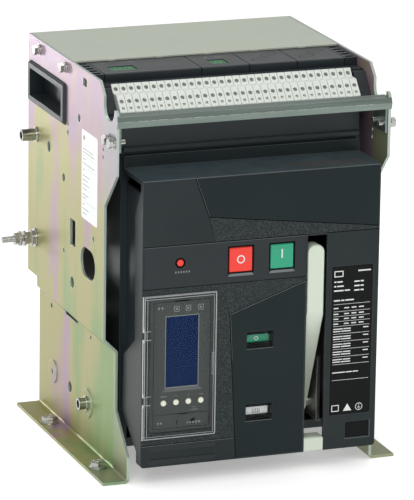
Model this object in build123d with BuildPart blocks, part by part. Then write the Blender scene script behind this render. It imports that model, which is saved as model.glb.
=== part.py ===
from build123d import *
import os

# Fixed-mount three-pole air circuit breaker.
# X runs to the right, +Y to the back and +Z up. The origin is the centre of the four foot
# bolt holes, on the underside of the feet. All sizes are in millimetres.

# ---- Frame -------------------------------------------------------------------------------
PLATE_SPAN = 254.0      # over the outer faces of the upper side plates
HEIGHT = 352.0          # feet to the top edge of the side plates
SHEET = 2.5             # side plate thickness
BEND_R = 2.0            # inner radius of a bend
JOG = 11.5              # how far the lower plates stand in from the upper ones
JOG_TOP = 121.5         # height of the upper bend of the joggle
BACK_Y = 134.0          # rear edge of the side plates
FOOT_WIDTH = 22.0       # outward foot, from the plate's outer face
FOOT_FRONT_Y = -112.0   # front end of the feet
FOOT_HOLE_X_PITCH = 254.0
FOOT_HOLE_Y_PITCH = 136.0
FOOT_HOLE_R = 4.5
WAIST_Y = -78.5         # front edge of the plates below the shoulder
SHOULDER_Y = -110.0     # front edge of the plates at the cross bar
SHOULDER_BOTTOM = 277.5
TAB_DROP = 17.5         # plate top down to the top of the bar tab
BAR_TAB_W = 6.0           # plate tab in front of the lead-in slot
U_SLOT_DEPTH = 30.0     # plate top down to the bottom of the lead-in slot
U_SLOT_WIDTH = 28.5
CORNER_CUT = 11.0       # chamfer of the plate's top front corner
HEEL_NOTCH_Y = 107.0    # relief notch at the rear end of the joggle
HEEL_NOTCH_TOP = 130.5

# ---- Casing ------------------------------------------------------------------------------
GAP = 0.5               # between neighbouring mouldings
HOUSING_CLEAR = 1.0     # between the housing and the lower plates
HOUSING_BOTTOM = 20.0
WALL = 6.0              # outer wall of the pole housing
PARTITION = 4.0         # wall between two poles
POLE_COUNT = 3
BACK_WALL = 5.0
BACK_WALL_INSET = 3.0   # from the plates' rear edge to the housing's back wall
BARRIER_Y = -34.0       # front face of the barrier between mechanism and poles
BARRIER_T = 3.0
FRONT_PANEL_Y = -76.0   # front face of the mechanism housing
FRONT_PANEL_T = 3.5

# ---- Front cover -------------------------------------------------------------------------
FRONT_Y = -131.5        # face of the front cover
COVER_INSET = 2.0       # cover side to housing side
COVER_BOTTOM = 19.5
COVER_TOP = 277.0
COVER_WALL = 3.5
COVER_CORNER_R = 3.0
FASCIA_T = 2.0
FASCIA_GAP = 0.35
MIDDLE_BAND_BOTTOM = 180.5
MIDDLE_BAND_TOP = 218.4

# ---- Top row -----------------------------------------------------------------------------
LID_T = 1.5
LID_FRONT_Y = 12.0
LID_FLANGE = 16.0
MODULE_PITCH = 45.0
MODULE_FRONT_Y = -36.0
MODULE_DEPTH_Z = 47.0
MODULE_TOP_DROP = 1.7
MODULE_GAP = 0.8
TERMINAL_PITCH = 7.0
TERMINAL_BACK_Y = -50.5
TERMINAL_TOP_DROP = 7.3

# ---- Current path ------------------------------------------------------------------------
BAR_W = 50.0
BAR_T = 10.0
UPPER_BAR_Z = 236.0
LOWER_BAR_Z = 96.0
BAR_OVERHANG = 34.0     # terminals behind the side plates
BAR_HOLE_R = 5.5
BAR_HOLE_PITCH = 25.0
BAR_HOLE_FROM_END = 16.0
FIXED_PAD_Y = 22.0
CONTACT_PIVOT = (8.0, 120.0)
CONTACT_PIVOT_R = 4.0
CONTACT_OPEN_DEG = 14.5
RUNNING_FIT = 0.05

# ---- Mechanism ---------------------------------------------------------------------------
MECH_PLATE_T = 3.0
MECH_LEFT_X = -34.0
MECH_RIGHT_X = 36.0
POLE_SHAFT_AT = (-62.0, 178.0)
POLE_SHAFT_R = 8.0
CHARGE_SHAFT_AT = (-74.0, 118.0)
CHARGE_SHAFT_R = 7.0
RATCHET_R = 24.0
RATCHET_TEETH = 20
LATCH_SPINDLE_AT = (-95.0, 178.0)
LATCH_SPINDLE_R = 3.0
HANDLE_AT = (-86.5, 52.0)
HANDLE_PIN_R = 5.0
HANDLE_W = 15.6
SLOT_LEFT_X = 42.5
SLOT_W = 18.5
SLOT_TOP = 217.0
SILL_TOP = 32.0

# ---- Operating parts ---------------------------------------------------------------------
BUTTON_W = 21.2
BUTTON_H = 21.8
BUTTON_Z = 200.9
OFF_X = -19.5
ON_X = 18.7
BUTTON_CLEAR = 0.7
RESET_AT = (-75.3, 202.4)
RESET_R = 3.0
WINDOW_W = 25.6
WINDOW_H = 19.6
STATE_WINDOW_Z = 126.3
CHARGE_WINDOW_Z = 60.4
FLAG_STEP = 14.0
TRIP_LEFT_INSET = 8.5  # cover's left side to the trip unit
TRIP_W = 58.5
TRIP_BOTTOM = 50.0
TRIP_TOP = 171.0
TRIP_DEPTH = 54.0
TRIP_RECESS = 2.0
KEY_R = 2.5
KEY_PITCH = 11.5
KEY_Z = 76.4
KEY_SHIFT = 0.85        # middle of the key row from the middle of the trip unit
KEY_PROUD = 0.8
DOOR_INSET = 0.4
DOOR_W = 68.0
DOOR_BOTTOM = 45.4
DOOR_TOP = 174.8
DOOR_T = 2.0
DOOR_GAP = 0.2
DOOR_LUG_ZS = (140.0, 81.0)
DOOR_LUG_H = 6.0
DOOR_PIN_R = 0.6

# ---- Fasteners ---------------------------------------------------------------------------
FRAME_BOLT_R = 2.5
FRAME_BOLT_AF = 8.0
FRAME_BOLT_HEAD = 3.5
FRAME_BOLT_GRIP = 7.0   # shank beyond the side plate
FLAT_WASHER_R = 5.0
FLAT_WASHER_T = 1.0
SPRING_WASHER_R = 4.4
SPRING_WASHER_T = 1.4
FRAME_HOLE_R = 2.8
SUPPORT_PIN_R = 5.5
PIN_CLEAR = 0.15
EARTH_AT = (112.0, 166.0)
EARTH_R = 3.0
EARTH_NUT_AF = 10.0
EARTH_REACH = 32.0

# ---- Derived places ----------------------------------------------------------------------
UPPER_X = PLATE_SPAN / 2
LOWER_X = UPPER_X - JOG
UPPER_IN = UPPER_X - SHEET
LOWER_IN = LOWER_X - SHEET
JOG_BOTTOM = JOG_TOP - JOG
HOUSING_X = LOWER_IN - HOUSING_CLEAR
COVER_X = HOUSING_X - COVER_INSET
HOUSING_BACK_Y = BACK_Y - BACK_WALL_INSET
CELL_BACK_Y = HOUSING_BACK_Y - BACK_WALL
POLE_PITCH = (2 * HOUSING_X - 2 * WALL + PARTITION) / POLE_COUNT
CELL_W = POLE_PITCH - PARTITION
POLE_XS = [(i - (POLE_COUNT - 1) / 2) * POLE_PITCH for i in range(POLE_COUNT)]
MODULE_TOP = HEIGHT - MODULE_TOP_DROP
MODULE_BOTTOM = MODULE_TOP - MODULE_DEPTH_Z
DECK_Z = MODULE_BOTTOM - GAP - 2.5
SUPPORT_BOTTOM = HEIGHT - 34.0
TERMINAL_TOP = HEIGHT - TERMINAL_TOP_DROP
BAR_END_Y = BACK_Y + BAR_OVERHANG
FRONT_INNER_Y = FRONT_Y + COVER_WALL
SLOT_RIGHT_X = SLOT_LEFT_X + SLOT_W
HANDLE_LEFT_X = SLOT_LEFT_X + 0.7
HANDLE_RIGHT_X = HANDLE_LEFT_X + HANDLE_W
TRIP_LEFT_X = -COVER_X + TRIP_LEFT_INSET
TRIP_RIGHT_X = TRIP_LEFT_X + TRIP_W
TRIP_FACE_Y = FRONT_Y + TRIP_RECESS
DOOR_LEFT_X = -COVER_X + DOOR_INSET
DOOR_RIGHT_X = DOOR_LEFT_X + DOOR_W
DOOR_BACK_Y = FRONT_Y - DOOR_GAP
DOOR_FRONT_Y = DOOR_BACK_Y - DOOR_T
DOOR_AXIS = (DOOR_LEFT_X + DOOR_T / 2, DOOR_BACK_Y - DOOR_T / 2)
FLAG_Y = FRONT_Y + 7.0
PLUNGER_END_Y = LATCH_SPINDLE_AT[0] - 3.3

os.makedirs("parts", exist_ok=True)


def block(xs, ys, zs, mode=Mode.ADD):
    """Box between two limits along X, Y and Z."""
    with Locations(((xs[0] + xs[1]) / 2, (ys[0] + ys[1]) / 2, (zs[0] + zs[1]) / 2)):
        Box(xs[1] - xs[0], ys[1] - ys[0], zs[1] - zs[0], mode=mode)


def slab_x(points, xs, mode=Mode.ADD):
    """Polygon of (y, z) points, extruded between two limits along X."""
    with BuildSketch(Plane.YZ.offset(xs[0])) as side:
        with BuildLine():
            Polyline(*points, close=True)
        make_face()
    extrude(side.sketch, amount=xs[1] - xs[0], mode=mode)


def slab_y(points, ys, mode=Mode.ADD):
    """Polygon of (x, z) points, extruded between two limits along Y."""
    with BuildSketch(Plane.XZ.offset(-ys[1])) as front:
        with BuildLine():
            Polyline(*points, close=True)
        make_face()
    extrude(front.sketch, amount=ys[1] - ys[0], mode=mode)


def rod(start, direction, radius, length, mode=Mode.ADD):
    """Cylinder from a start point along a direction."""
    with Locations(Plane(origin=start, z_dir=direction)):
        Cylinder(radius, length, align=(Align.CENTER, Align.CENTER, Align.MIN), mode=mode)


def hexagon(start, direction, across_flats, length):
    """Hexagonal prism from a start point along a direction."""
    with BuildSketch(Plane(origin=start, z_dir=direction)) as flats:
        RegularPolygon(across_flats / 2, 6, major_radius=False)
    extrude(flats.sketch, amount=length)


def tube(start, direction, outer_r, inner_r, length):
    """Plain ring or bush from a start point along a direction."""
    with BuildSketch(Plane(origin=start, z_dir=direction)) as ring:
        Circle(outer_r)
        Circle(inner_r, mode=Mode.SUBTRACT)
    extrude(ring.sketch, amount=length)


def save(name, builder):
    """Label a finished piece and write it under its own name."""
    builder.part.label = name
    export_step(builder.part, "parts/" + name + ".step")


# ---- Side plates -------------------------------------------------------------------------
U_SLOT_BACK_Y = SHOULDER_Y + BAR_TAB_W + U_SLOT_WIDTH
PLATE_OUTLINE = [
    (BACK_Y, 0),
    (BACK_Y, JOG_BOTTOM),
    (HEEL_NOTCH_Y, JOG_BOTTOM),
    (HEEL_NOTCH_Y, HEEL_NOTCH_TOP),
    (BACK_Y, HEEL_NOTCH_TOP),
    (BACK_Y, HEIGHT),
    (U_SLOT_BACK_Y + CORNER_CUT, HEIGHT),
    (U_SLOT_BACK_Y, HEIGHT - CORNER_CUT),
    (U_SLOT_BACK_Y, HEIGHT - TAB_DROP),
    (SHOULDER_Y + 2.5, HEIGHT - TAB_DROP),
    (SHOULDER_Y, HEIGHT - TAB_DROP - 2.5),
    (SHOULDER_Y, SHOULDER_BOTTOM),
    (WAIST_Y, SHOULDER_BOTTOM - (WAIST_Y - SHOULDER_Y) - 3.0),
    (WAIST_Y, 57.5),
    (FOOT_FRONT_Y, 24.0),
    (FOOT_FRONT_Y, 0),
]
TOP_BOLTS = [(102.0, HEIGHT - 8.5), (28.0, HEIGHT - 8.5)]
BAR_BOLTS = [(-90.5, HEIGHT - 46.0), (-104.0, HEIGHT - 46.0)]
UPPER_PIN_AT = (109.0, 263.5)
LOWER_PIN_AT = (-4.0, 41.5)
EMBOSS_H = 1.2            # raised rings on the lower plates
# Lightening and fixing holes: (y, z, radius).
PLATE_HOLES = [
    (-10.0, 306.0, 3.6),
    (21.0, 293.5, 2.2),
    (21.0, 286.0, 2.2),
    (-75.0, 293.5, 1.7),
    (-75.0, 286.5, 1.7),
    (74.0, 260.5, 5.0),
    (32.0, 242.0, 3.8),
    (-50.0, 206.5, 2.5),
    (31.0, 175.0, 2.5),
    (7.0, 152.0, 5.2),
    (99.0, 104.0, 2.5),
    (-12.0, 105.0, 1.8),
    (45.5, 42.0, 5.2),
    (93.0, 43.0, 2.5),
]
POCKET_Y = (25.0, 129.0)
POCKET_Z = (HEIGHT - 61.0, HEIGHT - 23.0)
POCKET_LIP = 3.0

with BuildPart() as side_plate_left:
    with BuildSketch(Plane.XZ.offset(-BACK_Y)):
        with BuildLine():
            FilletPolyline(
                (-UPPER_X, HEIGHT),
                (-UPPER_X, JOG_TOP),
                (-LOWER_X, JOG_BOTTOM),
                (-LOWER_X, SHEET),
                (-LOWER_X - FOOT_WIDTH, SHEET),
                radius=BEND_R,
            )
            offset(amount=SHEET, side=Side.LEFT, closed=True)
        make_face()
    extrude(amount=BACK_Y - FOOT_FRONT_Y)
    slab_x(PLATE_OUTLINE, (-LOWER_X - FOOT_WIDTH - 1, -LOWER_IN + 1), mode=Mode.INTERSECT)
    # Lead-in slot between the tab for the cross bar and the plate.
    slot_mid_y = U_SLOT_BACK_Y - U_SLOT_WIDTH / 2
    slot_bottom = HEIGHT - U_SLOT_DEPTH
    with BuildSketch(Plane.YZ.offset(-UPPER_X)):
        with Locations((slot_mid_y, slot_bottom + 20.0)):
            RectangleRounded(U_SLOT_WIDTH, 40.0, 12.0)
    extrude(amount=SHEET, mode=Mode.SUBTRACT)
    # Embossed rings round the lower pin and the rear fixing.
    rod((-LOWER_X, *LOWER_PIN_AT), (-1, 0, 0), 13.5, EMBOSS_H)
    rod((-LOWER_X, 93.0, 43.0), (-1, 0, 0), 11.0, 1.2)
    for y, z, r in PLATE_HOLES:
        rod((-UPPER_X - 3, y, z), (1, 0, 0), r, JOG + 8, mode=Mode.SUBTRACT)
    for y, z in TOP_BOLTS + BAR_BOLTS:
        rod((-UPPER_X - 1, y, z), (1, 0, 0), FRAME_HOLE_R, SHEET + 2, mode=Mode.SUBTRACT)
    pin_hole_r = SUPPORT_PIN_R + PIN_CLEAR
    rod((-UPPER_X - 1, *UPPER_PIN_AT), (1, 0, 0), pin_hole_r, SHEET + 2, mode=Mode.SUBTRACT)
    rod((-UPPER_X - 1, *LOWER_PIN_AT), (1, 0, 0), pin_hole_r, JOG + 5, mode=Mode.SUBTRACT)
    rod((-UPPER_X - 1, *EARTH_AT), (1, 0, 0), EARTH_R + PIN_CLEAR, SHEET + 2, mode=Mode.SUBTRACT)
    block((-UPPER_X - 1, -UPPER_IN + 1), (-30.0, -20.0), (HEIGHT - 14.0, HEIGHT - 7.0),
          mode=Mode.SUBTRACT)
    # Long slot, inspection hole and the cut-out across the joggle.
    with BuildSketch(Plane.YZ.offset(-UPPER_X - 1)):
        with Locations((6.0, 198.0)):
            RectangleRounded(15.0, 24.0, 1.0)
        with Locations((-36.0, 180.5)):
            SlotOverall(40.0, 27.0)
        with Locations((41.5, 114.0)):
            RectangleRounded(35.0, 13.0, 1.5)
        pocket_mid = ((POCKET_Y[0] + POCKET_Y[1]) / 2, (POCKET_Z[0] + POCKET_Z[1]) / 2)
        with Locations(pocket_mid):
            RectangleRounded(POCKET_Y[1] - POCKET_Y[0] - 2 * POCKET_LIP,
                             POCKET_Z[1] - POCKET_Z[0] - 2 * POCKET_LIP, 3.0)
    extrude(amount=JOG + 6, mode=Mode.SUBTRACT)
    for y in (-FOOT_HOLE_Y_PITCH / 2, FOOT_HOLE_Y_PITCH / 2):
        rod((-FOOT_HOLE_X_PITCH / 2, y, -1), (0, 0, 1), FOOT_HOLE_R, SHEET + 2, mode=Mode.SUBTRACT)
save("side_plate_left", side_plate_left)

with BuildPart() as side_plate_right:
    mirror(side_plate_left.part, about=Plane.YZ)
    # Only the left plate carries the earth stud.
    rod((UPPER_IN, *EARTH_AT), (1, 0, 0), EARTH_R + PIN_CLEAR, SHEET)
save("side_plate_right", side_plate_right)

# ---- Frame fasteners ---------------------------------------------------------------------
FLANGE_CLEAR = 0.3
with BuildPart() as frame_bolts:
    for side in (-1, 1):
        for y, z in TOP_BOLTS + BAR_BOLTS:
            outward = (side, 0, 0)
            spring_x = UPPER_X + FLAT_WASHER_T
            rod((side * UPPER_X, y, z), outward, FLAT_WASHER_R, FLAT_WASHER_T)
            rod((side * spring_x, y, z), outward, SPRING_WASHER_R, SPRING_WASHER_T)
            hexagon((side * (spring_x + SPRING_WASHER_T), y, z), outward, FRAME_BOLT_AF,
                    FRAME_BOLT_HEAD)
            rod((side * UPPER_X, y, z), (-side, 0, 0), FRAME_BOLT_R, SHEET + FRAME_BOLT_GRIP)
save("frame_bolts", frame_bolts)

PIN_REACH = 15.0
LOWER_PIN_REACH = 9.0
PIN_COLLAR_R = 7.0
PIN_END_R = 3.6
with BuildPart() as support_pins:
    for side in (-1, 1):
        outward = (side, 0, 0)
        tip_x = side * (UPPER_X + PIN_REACH)
        rod((side * (HOUSING_X + GAP), *UPPER_PIN_AT), outward, SUPPORT_PIN_R,
            UPPER_X + PIN_REACH - HOUSING_X - GAP)
        rod((side * UPPER_X, *UPPER_PIN_AT), outward, PIN_COLLAR_R, 1.8)
        rod((tip_x - side * 6.0, *UPPER_PIN_AT), outward, PIN_END_R, 7.0, mode=Mode.SUBTRACT)
        low_tip_x = side * (LOWER_X + LOWER_PIN_REACH)
        rod((side * (HOUSING_X + 0.2), *LOWER_PIN_AT), outward, SUPPORT_PIN_R,
            LOWER_X + LOWER_PIN_REACH - HOUSING_X - 0.2)
        rod((side * (LOWER_X + EMBOSS_H), *LOWER_PIN_AT), outward, PIN_COLLAR_R, 1.4)
        rod((low_tip_x - side * 5.0, *LOWER_PIN_AT), outward, PIN_END_R, 6.0, mode=Mode.SUBTRACT)
save("support_pins", support_pins)

with BuildPart() as earth_stud:
    rod((-UPPER_X - EARTH_REACH, *EARTH_AT), (1, 0, 0), EARTH_R, EARTH_REACH + SHEET)
    rod((-UPPER_IN, *EARTH_AT), (1, 0, 0), 6.5, 3.0)
    chamfer(earth_stud.faces().sort_by(Axis.X)[0].edges(), 0.6)
save("earth_stud", earth_stud)

with BuildPart() as earth_nuts:
    nut_bore = EARTH_R + 0.02
    tube((-UPPER_X, *EARTH_AT), (-1, 0, 0), 8.5, nut_bore, 1.6)
    for start in (UPPER_X + 3.4, UPPER_X + 14.5):
        with BuildSketch(Plane(origin=(-start, *EARTH_AT), z_dir=(-1, 0, 0))):
            RegularPolygon(EARTH_NUT_AF / 2, 6, major_radius=False)
            Circle(nut_bore, mode=Mode.SUBTRACT)
        extrude(amount=6.0)
        tube((-start, *EARTH_AT), (-1, 0, 0), 7.0, nut_bore, 1.4)
    tube((-UPPER_X - 1.7, *EARTH_AT), (-1, 0, 0), 6.0, nut_bore, 1.6)
    tube((-UPPER_X - 10.2, *EARTH_AT), (-1, 0, 0), 7.2, nut_bore, 1.6)
save("earth_nuts", earth_nuts)

# ---- Cross bar ---------------------------------------------------------------------------
BAR_SHEET = 1.8
BAR_BACK_Y = SHOULDER_Y - 0.1
BAR_TOP = HEIGHT - 21.0
with BuildPart() as cross_bar:
    with BuildSketch(Plane.YZ.offset(-UPPER_X)):
        with BuildLine():
            Polyline(
                (SHOULDER_Y + 9.0, BAR_TOP),
                (BAR_BACK_Y - 1.0, BAR_TOP - 1.0),
                (BAR_BACK_Y - 2.6, BAR_TOP - 5.5),
                (BAR_BACK_Y - 1.2, BAR_TOP - 11.0),
                (SHOULDER_Y + 6.0, BAR_TOP - 12.5),
            )
            offset(amount=BAR_SHEET, side=Side.LEFT, closed=True)
        make_face()
    extrude(amount=PLATE_SPAN)
    tab_outer = UPPER_IN - FLANGE_CLEAR
    for side in (-1, 1):
        ends = sorted((side * tab_outer, side * (UPPER_X + 1)))
        block(ends, (BAR_BACK_Y, SHOULDER_Y + 20), (BAR_TOP - 30, BAR_TOP + 5), mode=Mode.SUBTRACT)
        tab = sorted((side * (tab_outer - BAR_SHEET), side * tab_outer))
        block(tab, (SHOULDER_Y + 1.0, SHOULDER_Y + 29.0), (BAR_TOP - 33.0, BAR_TOP - 12.0))
        block(tab, (SHOULDER_Y + 1.0, SHOULDER_Y + BAR_TAB_W), (BAR_TOP - 33.0, BAR_TOP - BAR_SHEET / 2))
        for y, z in BAR_BOLTS:
            rod((side * (tab_outer - BAR_SHEET - 1), y, z), (side, 0, 0), FRAME_HOLE_R, BAR_SHEET + 2,
                mode=Mode.SUBTRACT)
save("cross_bar", cross_bar)

# ---- Lid and handholds -------------------------------------------------------------------
LID_X = UPPER_IN - FLANGE_CLEAR
with BuildPart() as top_cover:
    block((-LID_X, LID_X), (LID_FRONT_Y, BACK_Y), (HEIGHT - LID_T, HEIGHT))
    for side in (-1, 1):
        flange = sorted((side * (LID_X - LID_T), side * LID_X))
        block(flange, (LID_FRONT_Y, BACK_Y), (HEIGHT - LID_FLANGE, HEIGHT - LID_T))
    block((-LID_X, LID_X), (BACK_Y - LID_T, BACK_Y), (HEIGHT - LID_FLANGE, HEIGHT - LID_T))
    for i in range(5):
        tab_x = (i - 2) * MODULE_PITCH
        block((tab_x - 3.0, tab_x + 3.0), (LID_FRONT_Y - 1.2, LID_FRONT_Y), (HEIGHT - LID_T, HEIGHT))
    for side in (-1, 1):
        for y, z in TOP_BOLTS:
            rod((side * (LID_X - LID_T - 1), y, z), (side, 0, 0), FRAME_HOLE_R, LID_T + 2,
                mode=Mode.SUBTRACT)
save("top_cover", top_cover)

POCKET_DEEP_X = HOUSING_X + 0.8
with BuildPart() as handhold_left:
    with BuildSketch(Plane(origin=(-UPPER_X, 0, 0), x_dir=(0, 1, 0), z_dir=(1, 0, 0))):
        with Locations(pocket_mid):
            RectangleRounded(POCKET_Y[1] - POCKET_Y[0], POCKET_Z[1] - POCKET_Z[0], 4.0)
    extrude(amount=-3.0)
    chamfer(handhold_left.faces().sort_by(Axis.X)[0].edges(), 2.2)
    tray_y = (POCKET_Y[0] + POCKET_LIP + 0.3, POCKET_Y[1] - POCKET_LIP - 0.3)
    tray_z = (POCKET_Z[0] + POCKET_LIP + 0.3, POCKET_Z[1] - POCKET_LIP - 0.3)
    with BuildSketch(Plane(origin=(-UPPER_X, 0, 0), x_dir=(0, 1, 0), z_dir=(1, 0, 0))):
        with Locations(pocket_mid):
            RectangleRounded(tray_y[1] - tray_y[0], tray_z[1] - tray_z[0], 2.7)
    extrude(amount=UPPER_X - POCKET_DEEP_X)
    hollow_floor = -POCKET_DEEP_X - 2.0
    block((-UPPER_X - 4, hollow_floor), (tray_y[0] + 4, tray_y[1] - 4),
          (tray_z[0] + 3, tray_z[1] - 3), mode=Mode.SUBTRACT)
save("handhold_left", handhold_left)

with BuildPart() as handhold_right:
    mirror(handhold_left.part, about=Plane.YZ)
save("handhold_right", handhold_right)

# ---- Accessory modules -------------------------------------------------------------------
ROW_X = MODULE_PITCH * 2.5
MODULE_BACK_Y = LID_FRONT_Y
PLUG_YS = (-24.0, -10.0)
PLUG_XS = [(-101.0, -78.5), (-8.0, 6.5)]
PLUG_CLEAR = 0.4
PLUG_DEPTH = 15.0
PLUG_SUNK = 0.6
PLUG_SCREW_PITCH = 4.5


def module(x_from, x_to):
    """Body of one accessory module between two slot limits."""
    block((x_from + MODULE_GAP / 2, x_to - MODULE_GAP / 2), (MODULE_FRONT_Y, MODULE_BACK_Y),
          (MODULE_BOTTOM, MODULE_TOP))


def plug_pocket(xs):
    """Cut the pocket that a terminal plug sits in."""
    block((xs[0] - PLUG_CLEAR, xs[1] + PLUG_CLEAR), (PLUG_YS[0] - PLUG_CLEAR, PLUG_YS[1] + PLUG_CLEAR),
          (MODULE_TOP - PLUG_DEPTH, MODULE_TOP + 1), mode=Mode.SUBTRACT)


with BuildPart() as accessory_double:
    module(-ROW_X, -ROW_X + 2 * MODULE_PITCH)
    chamfer(accessory_double.edges().filter_by(Axis.X).group_by(Axis.Z)[-1], 0.8)
    plug_pocket(PLUG_XS[0])
save("accessory_double", accessory_double)

with BuildPart() as accessory_single:
    module(-ROW_X + 2 * MODULE_PITCH, -ROW_X + 3 * MODULE_PITCH)
    chamfer(accessory_single.edges().filter_by(Axis.X).group_by(Axis.Z)[-1], 0.8)
    plug_pocket(PLUG_XS[1])
save("accessory_single", accessory_single)

with BuildPart() as accessory_blanks:
    for i in (3, 4):
        module(-ROW_X + i * MODULE_PITCH, -ROW_X + (i + 1) * MODULE_PITCH)
    chamfer(accessory_blanks.edges().filter_by(Axis.X).group_by(Axis.Z)[-1], 0.8)
save("accessory_blanks", accessory_blanks)

with BuildPart() as accessory_plugs:
    for x_from, x_to in PLUG_XS:
        block((x_from, x_to), PLUG_YS, (MODULE_TOP - PLUG_DEPTH, MODULE_TOP - PLUG_SUNK))
        count = int((x_to - x_from) / PLUG_SCREW_PITCH)
        pitch = (x_to - x_from) / count
        for i in range(count):
            rod((x_from + (i + 0.5) * pitch, (PLUG_YS[0] + PLUG_YS[1]) / 2, MODULE_TOP), (0, 0, -1),
                1.3, 4.0, mode=Mode.SUBTRACT)
save("accessory_plugs", accessory_plugs)

RIB_COUNT = 5
with BuildPart() as end_blocks:
    for side in (-1, 1):
        block(sorted((side * (UPPER_IN - 0.3), side * (ROW_X + 0.3))), (MODULE_FRONT_Y, MODULE_BACK_Y),
              (MODULE_BOTTOM, MODULE_TOP))
        rib_pitch = (MODULE_BACK_Y - MODULE_FRONT_Y) / RIB_COUNT
        for i in range(RIB_COUNT):
            rib_y = MODULE_FRONT_Y + (i + 0.5) * rib_pitch
            block(sorted((side * (UPPER_IN - 2.0), side * (ROW_X + 2.0))), (rib_y - 2.6, rib_y + 2.6),
                  (MODULE_TOP - 3.0, MODULE_TOP), mode=Mode.SUBTRACT)
save("end_blocks", end_blocks)

# ---- Control terminals -------------------------------------------------------------------
TERMINAL_COUNT = 32
TERMINAL_FLOOR = SUPPORT_BOTTOM + 3.0
TERMINAL_GAP = 0.4
SUPPORT_FRONT_Y = -76.0
SUPPORT_BACK_Y = -37.0
STEP_Z = TERMINAL_TOP - 6.8
NOSE_Z = TERMINAL_TOP - 19.2
NOSE_Y = TERMINAL_BACK_Y - 26.0
STEP_BACK_Y = TERMINAL_BACK_Y - 5.5
STEP_FRONT_Y = TERMINAL_BACK_Y - 14.5
TERMINAL_PROFILE = [
    (TERMINAL_BACK_Y, TERMINAL_FLOOR),
    (TERMINAL_BACK_Y, TERMINAL_TOP),
    (STEP_BACK_Y, STEP_Z),
    (STEP_FRONT_Y, STEP_Z),
    (NOSE_Y, NOSE_Z),
    (NOSE_Y + 0.8, TERMINAL_FLOOR),
]
TERMINAL_HOLE_R = 1.9
SCREW_R = 1.6
SCREW_SUNK = 0.9
SCREW_HEAD = 1.1
SLOPE = (0, -0.74, 0.67)
TERMINAL_SPOTS = [((TERMINAL_BACK_Y - 3.2, TERMINAL_TOP - 3.9), (0, -0.79, 0.61)),
                  ((STEP_FRONT_Y - 4.4, STEP_Z - 4.6), SLOPE)]
TERMINAL_XS = [(i - (TERMINAL_COUNT - 1) / 2) * TERMINAL_PITCH for i in range(TERMINAL_COUNT)]

with BuildPart() as terminal_support:
    block((-UPPER_IN + 0.3, UPPER_IN - 0.3), (SUPPORT_FRONT_Y, SUPPORT_BACK_Y),
          (SUPPORT_BOTTOM, TERMINAL_FLOOR))
    block((-UPPER_IN + 0.3, UPPER_IN - 0.3), (TERMINAL_BACK_Y, SUPPORT_BACK_Y),
          (SUPPORT_BOTTOM, TERMINAL_TOP - 1.5))
    bracket = [(SUPPORT_BACK_Y, SUPPORT_BOTTOM), (SUPPORT_BACK_Y, TERMINAL_TOP - 2.2),
               (STEP_BACK_Y, TERMINAL_TOP - 3.0), (NOSE_Y + 6.5, NOSE_Z - 2.0),
               (NOSE_Y + 6.5, SUPPORT_BOTTOM)]
    for side in (-1, 1):
        slab_x(bracket, sorted((side * (ROW_X + 0.6), side * (UPPER_IN - 0.3))))
save("terminal_support", terminal_support)

with BuildPart() as terminal_unit:
    half = (TERMINAL_PITCH - TERMINAL_GAP) / 2
    slab_x(TERMINAL_PROFILE, (-half, half))
    for (y, z), out in TERMINAL_SPOTS:
        rod((0, y + out[1], z + out[2]), (0, -out[1], -out[2]), TERMINAL_HOLE_R, 5.0, mode=Mode.SUBTRACT)
    with Locations(Plane(origin=(0, NOSE_Y + 2.6, NOSE_Z + 2.6), z_dir=SLOPE)):
        Box(2.6, 2.6, 5.0, mode=Mode.SUBTRACT)

with BuildPart() as terminal_blocks:
    with Locations([(x, 0, 0) for x in TERMINAL_XS]):
        add(terminal_unit.part)
save("terminal_blocks", terminal_blocks)

with BuildPart() as terminal_screws:
    for x in TERMINAL_XS:
        for (y, z), out in TERMINAL_SPOTS:
            rod((x, y - SCREW_SUNK * out[1], z - SCREW_SUNK * out[2]), (0, -out[1], -out[2]),
                SCREW_R, SCREW_HEAD)
save("terminal_screws", terminal_screws)

# ---- Housings ----------------------------------------------------------------------------
STEP_WALL_Y = LID_FRONT_Y + 2.0
STEP_ROOF = 4.5
HOUSING_TOP = HEIGHT - 6.0
FRONT_HOUSING_X = HOUSING_X - 1.0
BARRIER_TOP = DECK_Z
with BuildPart() as rear_housing:
    slab_x([(HOUSING_BACK_Y, HOUSING_BOTTOM), (HOUSING_BACK_Y, HOUSING_TOP), (STEP_WALL_Y, HOUSING_TOP),
            (STEP_WALL_Y, DECK_Z), (BARRIER_Y, DECK_Z), (BARRIER_Y, HOUSING_BOTTOM)],
           (-HOUSING_X, HOUSING_X))
    for x in POLE_XS:
        slab_x([(CELL_BACK_Y, HOUSING_BOTTOM + WALL), (CELL_BACK_Y, HOUSING_TOP + 1),
                (STEP_WALL_Y + PARTITION, HOUSING_TOP + 1),
                (STEP_WALL_Y + PARTITION, DECK_Z - STEP_ROOF),
                (BARRIER_Y - 1, DECK_Z - STEP_ROOF), (BARRIER_Y - 1, HOUSING_BOTTOM + WALL)],
               (x - CELL_W / 2, x + CELL_W / 2), mode=Mode.SUBTRACT)
        for z in (UPPER_BAR_Z, LOWER_BAR_Z):
            block((x - BAR_W / 2 - 0.3, x + BAR_W / 2 + 0.3), (CELL_BACK_Y - 1, HOUSING_BACK_Y + 1),
                  (z - BAR_T / 2 - 0.3, z + BAR_T / 2 + 0.3), mode=Mode.SUBTRACT)
save("rear_housing", rear_housing)

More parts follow.
